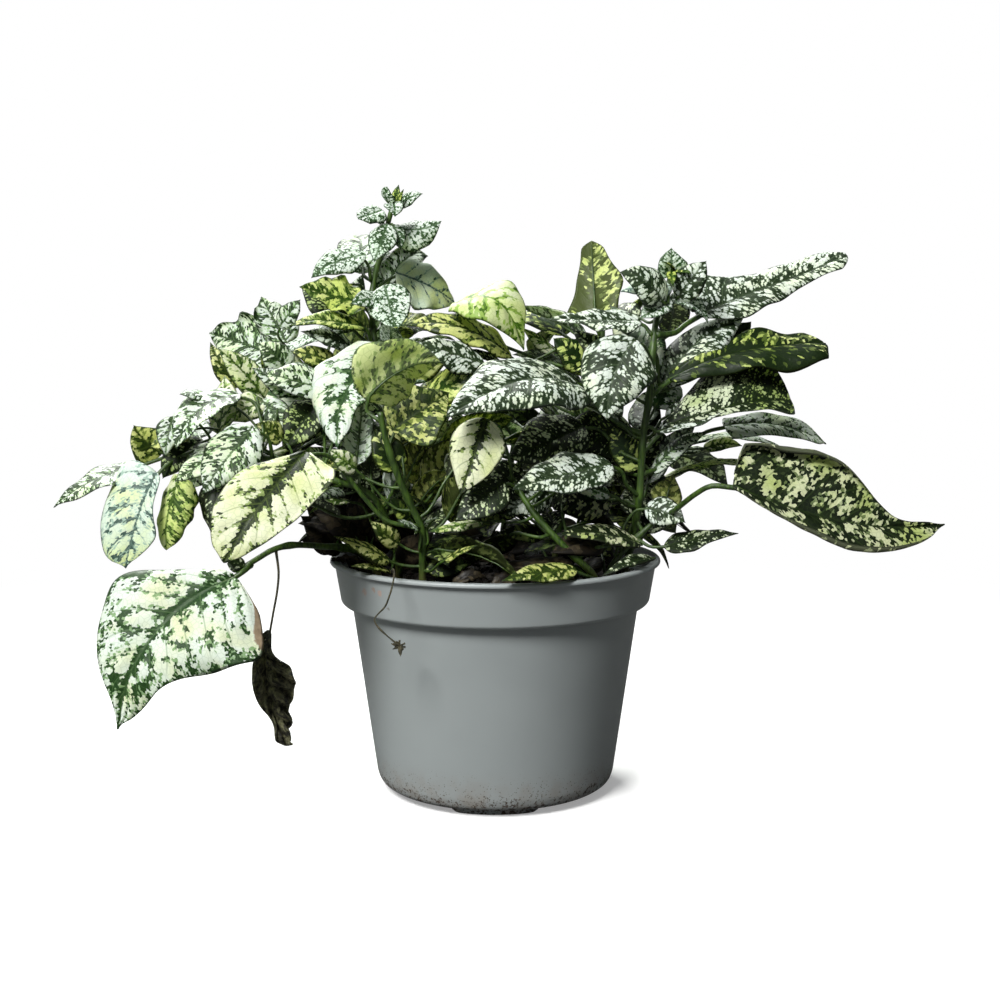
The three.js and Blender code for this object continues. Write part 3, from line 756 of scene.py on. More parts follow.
class Blade:
    """A leaf blade's form: its midrib as a curve over the share along, upper side, widths and fold."""

    def __init__(self, midrib, up, widths, fold, stalk):
        self.midrib, self.up, self.widths, self.fold, self.stalk = midrib, up, widths, fold, stalk
        self.length = float(np.linalg.norm(self.centre(1.0) - self.centre(0.0)))

    @classmethod
    def from_node(cls, node):
        """Reads a CAD leaf back. Its rings stand at known shares along, so the curves fit exactly."""
        rings, tip = leaf_rings(node)
        stalk, blade = rings[:-len(BLADE_STATIONS)], rings[-len(BLADE_STATIONS):]
        centres = (blade[:, 2] + blade[:, 6]) / 2
        shares = np.append(BLADE_STATIONS, 1)
        midrib = np.polyfit(shares, np.vstack([centres, tip]), 2)
        lifts = unit(blade[:, 2] - blade[:, 6])
        level = np.linalg.norm(blade[:, 4] - blade[:, 0], axis=1) / 2
        raised = (((blade[:, 4] + blade[:, 0]) / 2 - centres) * lifts).sum(axis=1)
        t = BLADE_STATIONS
        law = np.linalg.lstsq(
            np.stack([np.ones_like(t), np.log(t), np.log(1 - t)], axis=1),
            np.log(np.hypot(level, raised)), rcond=None,
        )[0]
        fold = float(np.mean(np.arctan2(raised, level)))
        return cls(midrib, unit(lifts.mean(axis=0)), law, fold, stalk.mean(axis=1))

    @classmethod
    def from_ends(cls, base, tip, face, width, stalk, arch=0.0, bend=0.0, fold=0.0, peak=0.36, taper=1.6):
        """A blade between two points, its upper side towards face, as wide as width at share peak."""
        base, tip = np.array(base, float), np.array(tip, float)
        along = unit(tip - base)
        up = np.array(face, float)
        up = unit(up - along * (up @ along))
        swell = arch * up + bend * np.cross(along, up)
        midrib = np.stack([-4 * swell, tip - base + 4 * swell, base])
        rise, fall = peak * taper, (1 - peak) * taper
        law = [math.log(width / 2) - rise * math.log(peak) - fall * math.log(1 - peak), rise, fall]
        return cls(midrib, up, np.array(law), math.radians(fold), np.array(stalk, float))

    def centre(self, v):
        v = np.asarray(v, float)[..., None]
        return self.midrib[0] * v * v + self.midrib[1] * v + self.midrib[2]

    def half_width(self, v):
        v = np.clip(v, 1e-4, 1 - 1e-4)
        return np.exp(self.widths[0] + self.widths[1] * np.log(v) + self.widths[2] * np.log(1 - v))

    def axes(self, v):
        """The ways ahead, right and up at each share along."""
        ahead = unit(2 * self.midrib[0] * np.asarray(v)[:, None] + self.midrib[1])
        up = unit(self.up - ahead * (ahead @ self.up)[:, None])
        return ahead, np.cross(ahead, up), up


# puff: how far each half bulges. ruffle, waves: the height and number of the margin's waves.
# twist: radians from base to tip. sway, tip_side: how far the middle and the tip are moved to the right,
# in mm. tip_drop: how far the tip drops, as a share of the length. wobble: the outline's unevenness.
# puckers: the swelling between the side veins.
# left, right: that side's width in mm at even shares along, or None for the CAD leaf's own.
# left_curl, right_curl: how far the margin turns up, in radians, at even shares along; it starts to turn
# at the share curl_from across.
# greener, washed, dry: added green, wash and dryness, or a function of the shares across and along.
# stalk_radius: in mm, or None for one that suits the blade's length.
SHAPE = dict(puff=0.16, ruffle=0.05, waves=2.5, twist=0.0, sway=0.0, tip_side=0.0, tip_drop=0.03,
             wobble=0.035, puckers=0.013, left=None, right=None, left_curl=-0.15, right_curl=-0.15,
             curl_from=0.5, greener=0.0, washed=0.0, dry=0.0, stalk_radius=None)


def along(values, v):
    """Values given at even shares along a blade, smoothly between them; a plain number stays the same."""
    values = np.atleast_1d(np.asarray(values, float))
    knots = np.linspace(0, 1, len(values)) if len(values) > 1 else [0.0]
    return np.mean([np.interp(v + shift, knots, values) for shift in np.linspace(-0.04, 0.04, 5)], axis=0)


def summed_outwards(values):
    """For each row, the running mean of values from the midrib to each column."""
    middles = (values[:, 1:] + values[:, :-1]) / 2
    sums = np.cumsum(middles, axis=1) / middles.shape[1]
    return np.concatenate([np.zeros((len(values), 1)), sums], axis=1)


def blade_side(blade, shape, rng, side, v, out):
    """One half of a blade: for each row and column its half width, and how far out and up it lies."""
    name = "left" if side < 0 else "right"
    if shape[name] is None:
        half = blade.half_width(v)
    else:
        blunt_ends = np.clip(v / 0.03, 0, 1) * np.clip((1 - v) / 0.07, 0, 1)
        half = along(shape[name], v) * np.sqrt(blunt_ends)
    places = np.stack([4 * v, 0 * v], axis=1)
    half = np.maximum(half, 0.05) * (1 + shape["wobble"] * waves(rng, places, 2.2))
    half = half[:, None]
    curl = along(shape[name + "_curl"], v)[:, None]
    slope = blade.fold + 1.6 * shape["puff"] * (1 - 2 * out)
    slope = slope + curl * smoothstep(shape["curl_from"], 1.0, out)
    level = half * summed_outwards(np.cos(slope))
    lift = half * summed_outwards(np.sin(slope))
    ruffle = np.sin(2 * math.pi * shape["waves"] * v + rng.uniform(0, 2 * math.pi))[:, None]
    lift += half * shape["ruffle"] * out ** 2.5 * ruffle
    vein_at = (v[:, None] - VEIN_SLOPE * out) * vein_count(blade.length) + LEFT_VEIN_SHIFT * (side < 0)
    between = 0.5 - 0.5 * np.cos(2 * math.pi * vein_at)
    widest = half.max()
    lift += 2 * widest * shape["puckers"] * between * smoothstep(0.05, 0.3, out) * (1 - out ** 4)
    lift -= 0.018 * widest * np.exp(-(level / 0.9) ** 2)
    return np.broadcast_to(half, level.shape), level, lift


def blade_grid(blade, shape, rng, step=GRID_STEP):
    """The blade's middle surface as rows of points along it, with the shares of its rows and columns."""
    widest = float(blade.half_width(np.linspace(0.05, 0.95, 30)).max())
    rows = int(np.clip(blade.length / step, 12, 64))
    even = np.linspace(0, 1, rows)
    v = 0.004 + 0.991 * (0.55 * even + 0.45 * (0.5 - 0.5 * np.cos(math.pi * even)))
    out = np.linspace(0, 1, int(np.clip(widest / step, 4, 20)) + 1)
    left = blade_side(blade, shape, rng, -1, v, out)
    right = blade_side(blade, shape, rng, 1, v, out)
    half, level, lift = (
        np.concatenate([sign * a[:, :0:-1], b], axis=1)
        for sign, a, b in zip((1, -1, 1), left, right, strict=True)
    )
    u = np.concatenate([-out[:0:-1], out])
    _, across, up = blade.axes(v)
    turn = shape["twist"] * (v - 0.4)
    turned_across = across * np.cos(turn)[:, None] + up * np.sin(turn)[:, None]
    turned_up = up * np.cos(turn)[:, None] - across * np.sin(turn)[:, None]
    places = np.stack([level.ravel(), np.repeat(v, len(u)) * blade.length], 1)
    bumps = waves(rng, places, 17.0).reshape(level.shape)
    lift = lift + 0.02 * widest * bumps * smoothstep(0.0, 0.4, np.abs(u))
    to_tip = smoothstep(0.65, 1.05, v)
    aside = shape["sway"] * 4 * v * (1 - v) + shape["tip_side"] * to_tip
    drop = blade.length * shape["tip_drop"] * to_tip
    middle = blade.centre(v) + across * aside[:, None] - up * drop[:, None]
    surface = (
        middle[:, None, :]
        + turned_across[:, None, :] * level[..., None]
        + turned_up[:, None, :] * lift[..., None]
    )
    return surface, v, u, half


def blade_skin(surface, normal, u):
    """A closed skin round a surface, thinnest at its margin: its points, the tip last, and its faces."""
    rows, columns = surface.shape[:2]
    out = np.abs(u)[None, :]
    thick = SKIN_THICKNESS * (1 - 0.6 * out ** 2) * (out < 0.999)
    top = surface + normal * thick[..., None] / 2
    bottom = surface - normal * thick[..., None] / 2
    rings = np.concatenate([top, bottom[:, -2:0:-1]], axis=1)
    last_row, row_before = surface[-1].mean(axis=0), surface[-2].mean(axis=0)
    tip = last_row + (last_row - row_before) * 0.6
    points = np.concatenate([rings.reshape(-1, 3), tip[None]])
    ring = 2 * columns - 2
    last = (rows - 1) * ring
    faces = [[a, d, c, b] for a, b, c, d in ring_faces(rows, ring)]
    faces += [[last + (j + 1) % ring, last + j, len(points) - 1] for j in range(ring)]
    faces.append(list(range(ring)))
    return points, faces


def blade_fields(blade, shape, own, v, u, half):
    """The four attributes that leaf_places reads, for the points of a blade's skin."""
    under = np.concatenate([np.zeros(len(u)), np.ones(len(u) - 2)])
    under[[0, len(u) - 1]] = 0.5
    half = np.concatenate([half, half[:, -2:0:-1]], axis=1)
    grid_v, grid_u = np.meshgrid(v, np.concatenate([u, u[-2:0:-1]]), indexing="ij")
    tones = [shape[name] for name in ("greener", "washed", "dry")]
    tones = [tone(grid_u, grid_v) if callable(tone) else tone for tone in tones]
    veins = vein_count(blade.length)

    def with_tip(columns, tip):
        body = np.stack([np.broadcast_to(c, grid_v.shape).ravel() for c in columns], axis=1)
        return np.vstack([body, tip])

    return dict(
        in_mm=with_tip((grid_u * half, grid_v * blade.length, under), (0, blade.length, 0.5)),
        share=with_tip((grid_u, grid_v, own), (0, 1, own)),
        sizes=with_tip((np.maximum(half, 0.3), blade.length, veins), (0.3, blade.length, veins)),
        tone=with_tip(tones, (0, 0, 0)),
    )


# The surface points of every leaf that has been added, for the leaves that fill the room between them.
all_blades = []


def add_leaf(build, blade, shape, seed, look_slot, stalk_slot, step=GRID_STEP):
    """Adds one leaf to a build: a thin closed blade, and the stalk that runs on as its midrib."""
    rng = np.random.default_rng(seed)
    surface, v, u, half = blade_grid(blade, shape, rng, step)
    all_blades.append(surface.reshape(-1, 3))
    along_way, across_way = np.gradient(surface, axis=0), np.gradient(surface, axis=1)
    normal = unit(np.cross(across_way, along_way))
    own = float(rng.uniform(0, 1))
    build.add(*blade_skin(surface, normal, u), look_slot, **blade_fields(blade, shape, own, v, u, half))
    add_stalk(build, blade, surface, normal, shape, stalk_slot)


def add_stalk(build, blade, surface, normal, shape, slot):
    """The leaf's stalk, from inside its stem to the blade, and on under the blade as its midrib."""
    radius = shape["stalk_radius"] or float(np.clip(0.32 + 0.0095 * blade.length, 0.36, 0.95))
    middle = surface.shape[1] // 2
    rows = range(2, int(surface.shape[0] * 0.93), 3)
    rib = np.array([surface[k, middle] - normal[k, middle] * radius * 0.55 for k in rows])
    start = blade.stalk[0]
    towards = blade.stalk[1] if len(blade.stalk) > 1 else rib[0]
    inside = start - unit(towards - start) * 1.6
    stalk_line = spline(np.vstack([inside, blade.stalk, rib[:1]]), max(8, len(blade.stalk) * 4))
    line = np.vstack([stalk_line[:-1], rib])
    shares = np.linspace(0, 1, len(rib))
    radii = np.concatenate([
        radius * (1 + 0.5 * np.exp(-np.arange(len(stalk_line) - 1) / 1.5)),
        radius * (1 - 0.82 * shares ** 0.7),
    ])
    points, faces, run = tube(line, radii, 8)
    zero = np.zeros_like(run)
    build.add(points, faces, slot, in_mm=np.stack([run, zero + CLEAR_OF_SOIL, zero], axis=1))


# ---- Leaves that stand for CAD nodes ----

# Each CAD leaf: its look, and the parts of its shape that aren't left to chance.
LEAVES = {
    "leaf_left_far": dict(look="white_net", left=(5, 9, 10, 9, 8, 6, 0), greener=0.08),
    "leaf_left_pale": dict(
        look="mint", sway=-3.5, right=(11, 17.5, 18, 17.5, 17, 16, 15.5, 14, 11.5, 8, 0),
        left=(2.5, 3.5, 4, 4.8, 5.8, 6.8, 8.4, 9.4, 8, 5, 0), left_curl=0.5, right_curl=-0.7,
        washed=lambda u, v: 0.9 * smoothstep(0.62, 0.95, v)),
    # One half of this leaf is greener and washed, the other paler: the leaf's own colours, and painted
    # shade on its greener, folded half.
    "leaf_left_folded": dict(
        look="cream_net", right=(7, 10, 11, 11.5, 11.5, 11, 10, 8.5, 6, 3),
        left=(5, 8, 9, 9.5, 9.5, 9, 8, 6.5, 4.5, 2),
        greener=lambda u, v: -0.2 + 0.35 * smoothstep(0.1, -0.2, u),
        washed=lambda u, v: 0.9 * smoothstep(0.1, -0.2, u)),
    "leaf_left_upper": dict(
        look="white_net", greener=0.06, sway=4, right=(9, 12, 13, 14, 14.5, 13, 11.5, 9.5, 7, 4, 0),
        left=(2, 6, 8, 9, 9.5, 9.5, 8.5, 7.5, 6, 3.5, 0)),
    "leaf_left_inner": dict(look="white_net"),
    "leaf_left_hanging": dict(look="white_net"),
    "leaf_front_left": dict(
        look="cream_bold", sway=-2.6, right=(1, 4, 7, 11, 13.5, 14.5, 14, 13, 10.5, 7.5, 2.5),
        left=(12, 16, 16.5, 15.5, 14.5, 13.5, 12.5, 11, 8.5, 5, 2), left_curl=(0.4, 0.8, 0.6, 0.2),
        right_curl=-0.2, curl_from=0.75, puff=0.08, greener=0.07,
        washed=lambda u, v: 0.7 * smoothstep(0.1, 0.5, u) * smoothstep(0.55, 0.3, v)),
    "leaf_low_left": dict(
        look="white_bold", sway=4.9, right=(3, 9, 16, 23, 25, 24, 21, 16, 10, 2.5, 0),
        left=(14, 28, 34, 32, 28, 23, 17, 12.5, 9.5, 5.5, 0), left_curl=-0.2, right_curl=-0.5,
        puff=0.12, dry=lambda u, v: smoothstep(-0.74, -0.9, u) * smoothstep(0.2, 0.12, v)),
    "leaf_left_shaded": dict(look="dark_spots"),
    "leaf_back_left_upper": dict(
        look="white_net", greener=0.06, left_curl=1.6, right_curl=-1.2, ruffle=0.24, waves=3.5),
    "leaf_back_left": dict(
        look="white_net", greener=0.06, left_curl=-1.4, right_curl=1.7, ruffle=0.24, waves=3.5),
    "leaf_tip_left": dict(look="polka_fine"),
    "leaf_tip_right": dict(look="polka_fine"),
    "leaf_tip_front": dict(look="polka_fine"),
    "leaf_tip_round": dict(look="polka_fine"),
    "leaf_shoot_heart": dict(look="polka_fine"),
    "leaf_shoot_pale": dict(look="mint", ruffle=0.1, greener=-0.22, washed=0.2),
    "leaf_lime_left": dict(look="lime_net", left_curl=0.9, right_curl=0.7, ruffle=0.16),
    "leaf_centre_white": dict(
        look="white_bold", sway=3, right=(10, 13, 17, 19.5, 19.5, 17, 13.5, 10, 7, 4, 0),
        left=(9, 12, 13, 12.5, 11, 9.5, 8, 7, 5.5, 3.5, 0), right_curl=-0.8, left_curl=-0.3,
        greener=lambda u, v: -0.35 * smoothstep(0.2, 0.6, u) * smoothstep(0.7, 0.4, v)),
    "leaf_centre_lime": dict(look="cream_net", greener=0.02, washed=0.6, left_curl=0.5, right_curl=0.7),
    "leaf_centre_olive": dict(look="olive_net", greener=0.14, left_curl=0.4, right_curl=0.3),
    "leaf_centre_speckled": dict(look="polka", left_curl=-0.8, right_curl=-0.8),
    "leaf_top_cream": dict(look="lime_pale", washed=0.3),
    "leaf_top_olive": dict(look="olive_net", greener=-0.12, washed=-0.4, left_curl=-0.5, right_curl=0.6),
    "leaf_front_speckled": dict(look="polka", right_curl=-0.5, left_curl=-0.6),
    "leaf_front_hanging": dict(look="cream_bold", left_curl=0.5, right_curl=-0.6),
    "leaf_inner_shaded": dict(look="dark_spots"),
    "leaf_front_dark": dict(look="dark_spots", greener=0.1),
    "leaf_front_low": dict(look="polka"),
    # Besides its own streaks, this leaf's greener base is partly painted shade, and its paler left half,
    # washed yellow, is partly a painted highlight.
    "leaf_right_upright": dict(
        look="lime_streak",
        greener=lambda u, v: 0.1 + 0.35 * smoothstep(0.5, 0.1, v) - 0.3 * smoothstep(0.1, -0.2, u),
        washed=lambda u, v: 0.8 * smoothstep(0.1, -0.2, u),
        right=(11, 9.8, 8.6, 7.5, 6.6, 5.9, 5.3, 4.9, 4.6, 4.2, 3),
        left=(9, 9.2, 9.4, 9.9, 11, 11.4, 10, 7.8, 6, 4.6, 3)),
    "leaf_right_reaching": dict(look="polka"),
    "leaf_right_hanging": dict(look="polka", left_curl=-0.5, right_curl=-0.5),
    "leaf_right_top": dict(
        look="polka", right=(2, 5, 10, 11, 10.5, 9, 7, 6, 6, 6.5, 5), tip_drop=-0.035,
        left=(12, 15, 20, 19, 15, 12, 10, 9, 9.5, 9.5, 7), left_curl=-0.3, right_curl=-0.4),
    "leaf_right_olive": dict(
        look="olive_streak", sway=-1.5, tip_drop=-0.04,
        right=(3, 5, 7, 9, 11, 12, 13.5, 15, 15.5, 14, 10),
        left=(3, 4, 4, 4.5, 6, 8.5, 10, 10.5, 7, 8, 6.5), left_curl=(0.2, 0.4, 0.6, 0.8, 0.6),
        right_curl=(-0.4, -0.6, -0.8), ruffle=0.1, waves=2.2,
        greener=lambda u, v: 0.16 * smoothstep(-0.2, 0.3, u),
        washed=lambda u, v: smoothstep(0.72, 0.92, v)),
    "leaf_right_green": dict(
        look="dark_spots", sway=3.5, greener=lambda u, v: 0.3 * smoothstep(0.45, 0.75, v) - 0.24,
        washed=lambda u, v: 1.2 * smoothstep(0.45, 0.75, v) - 0.4,
        right=(3, 3, 3.5, 4, 5, 5.5, 6.5, 7.5, 9, 10, 8),
        left=(2.5, 6, 11.5, 15, 18, 18.5, 18.5, 18, 18, 17.5, 14),
        left_curl=(-0.4, 0, 0.8, 1.8), right_curl=0.8),
    "leaf_right_narrow": dict(
        look="white_net", greener=-0.1, sway=-2, right=(7, 8, 8.5, 8.3, 7.6, 7, 6.5, 5.6, 4.8, 3.5, 0),
        left=(5, 4.5, 5, 6, 7, 7.5, 8, 8.5, 8, 6, 0)),
    "leaf_far_right": dict(
        look="dark_patch", sway=4.3, right=(3, 5, 7, 10, 13, 15, 15, 13, 10.5, 7, 0),
        left=(18, 23, 26, 27, 27, 25, 16, 6.5, 2, 1.5, 0), left_curl=(2.9, 3.4, 3.2, 2.8, 2.0, 1.0),
        right_curl=(1.5, 2.2, 3.0, 3.2, 3.0, 2.0), curl_from=0.68, ruffle=0.02, wobble=0.02, puff=0.1,
        tip_side=-0.8, tip_drop=-0.02),
    "leaf_right_low": dict(look="dark_spots"),
    "leaf_over_lip": dict(look="olive_net", greener=0.1),
    "leaf_rear_high": dict(look="white_net"),
    "leaf_rear_left": dict(look="polka"),
    "leaf_rear_right": dict(look="polka"),
    "leaf_side_right": dict(look="white_bold"),
    "leaf_side_left": dict(look="cream_net"),
    "leaf_rear_far_left": dict(look="white_net"),
}


def varied(rng):
    """SHAPE with this leaf's own share of chance."""
    return SHAPE | dict(
        puff=rng.uniform(0.09, 0.24), ruffle=rng.uniform(0.03, 0.1), waves=rng.uniform(1.6, 3.4),
        twist=rng.uniform(-0.35, 0.35), left_curl=rng.uniform(-0.9, 0.4),
        right_curl=rng.uniform(-0.9, 0.4), tip_drop=rng.uniform(-0.03, 0.09),
        wobble=rng.uniform(0.03, 0.08),
    )


def cad_leaves():
    """A finer leaf in the place of each CAD leaf."""
    for number, (node, spec) in enumerate(LEAVES.items()):
        shape = varied(np.random.default_rng(SHAPE_SEED + number)) | spec
        look = shape.pop("look")
        build = Build()
        add_leaf(build, Blade.from_node(node), shape, LEAF_SEED + number, 0, 1)
        build.piece("fine_" + node, [leaf_looks[look], stem_skin], slot_of(look), [node])


# ---- Stems ----

# How deep a stem stands in the soil in mm, and its radius as a share of the CAD tube's.
SOIL_DEPTH = 4.0
STEM_SLIMNESS = 0.78

# Each stem's centre line and radius.
stem_lines = {name: tube_line(name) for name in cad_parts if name.startswith("stem_")}


def stem_point(name, at):
    """The point at that share of a stem's length, and the way the stem runs there."""
    line = stem_lines[name][0]
    run = run_along(line)
    before, here, after = (
        np.array([np.interp(run[-1] * share, run, line[:, i]) for i in range(3)])
        for share in (max(at - 0.03, 0), at, min(at + 0.03, 1))
    )
    return here, unit(after - before)


def stem_piece(name):
    """A stem along its CAD centre line: swollen at its joints, and rooted in the soil."""
    centres, radius = stem_lines[name]
    rng = np.random.default_rng(int(abs(centres).sum()))
    root = centres[0] - np.array([0, 0, SOIL_DEPTH])
    length = run_along(centres)[-1]
    line = spline(np.vstack([root, centres]), int(length / 1.2))
    share = np.linspace(0, 1, len(line))
    joints = rng.uniform(16, 24)
    swelling = np.exp(-(((share * length + joints / 3) % joints - joints / 2) / 2.2) ** 2)
    radii = STEM_SLIMNESS * radius * (1.08 - 0.3 * share ** 1.5 + 0.25 * swelling)
    points, faces, far = tube(line, radii, 12)
    above = points[:, 2] - centres[0][2]
    build = Build()
    build.add(points, faces, in_mm=np.stack([far, above, np.zeros_like(far)], axis=1))
    build.piece("fine_" + name, [stem_skin], "stem_green", [name])


# ---- Small leaves with no CAD node ----

# The ways that leaves face.
FRONT = (0, -0.85, 0.5)
SKY = (0, -0.45, 0.9)
LEFT = (-0.4, -0.7, 0.6)
RIGHT = (0.4, -0.6, 0.7)
BACKLIT = (-0.2, 0.75, 0.6)

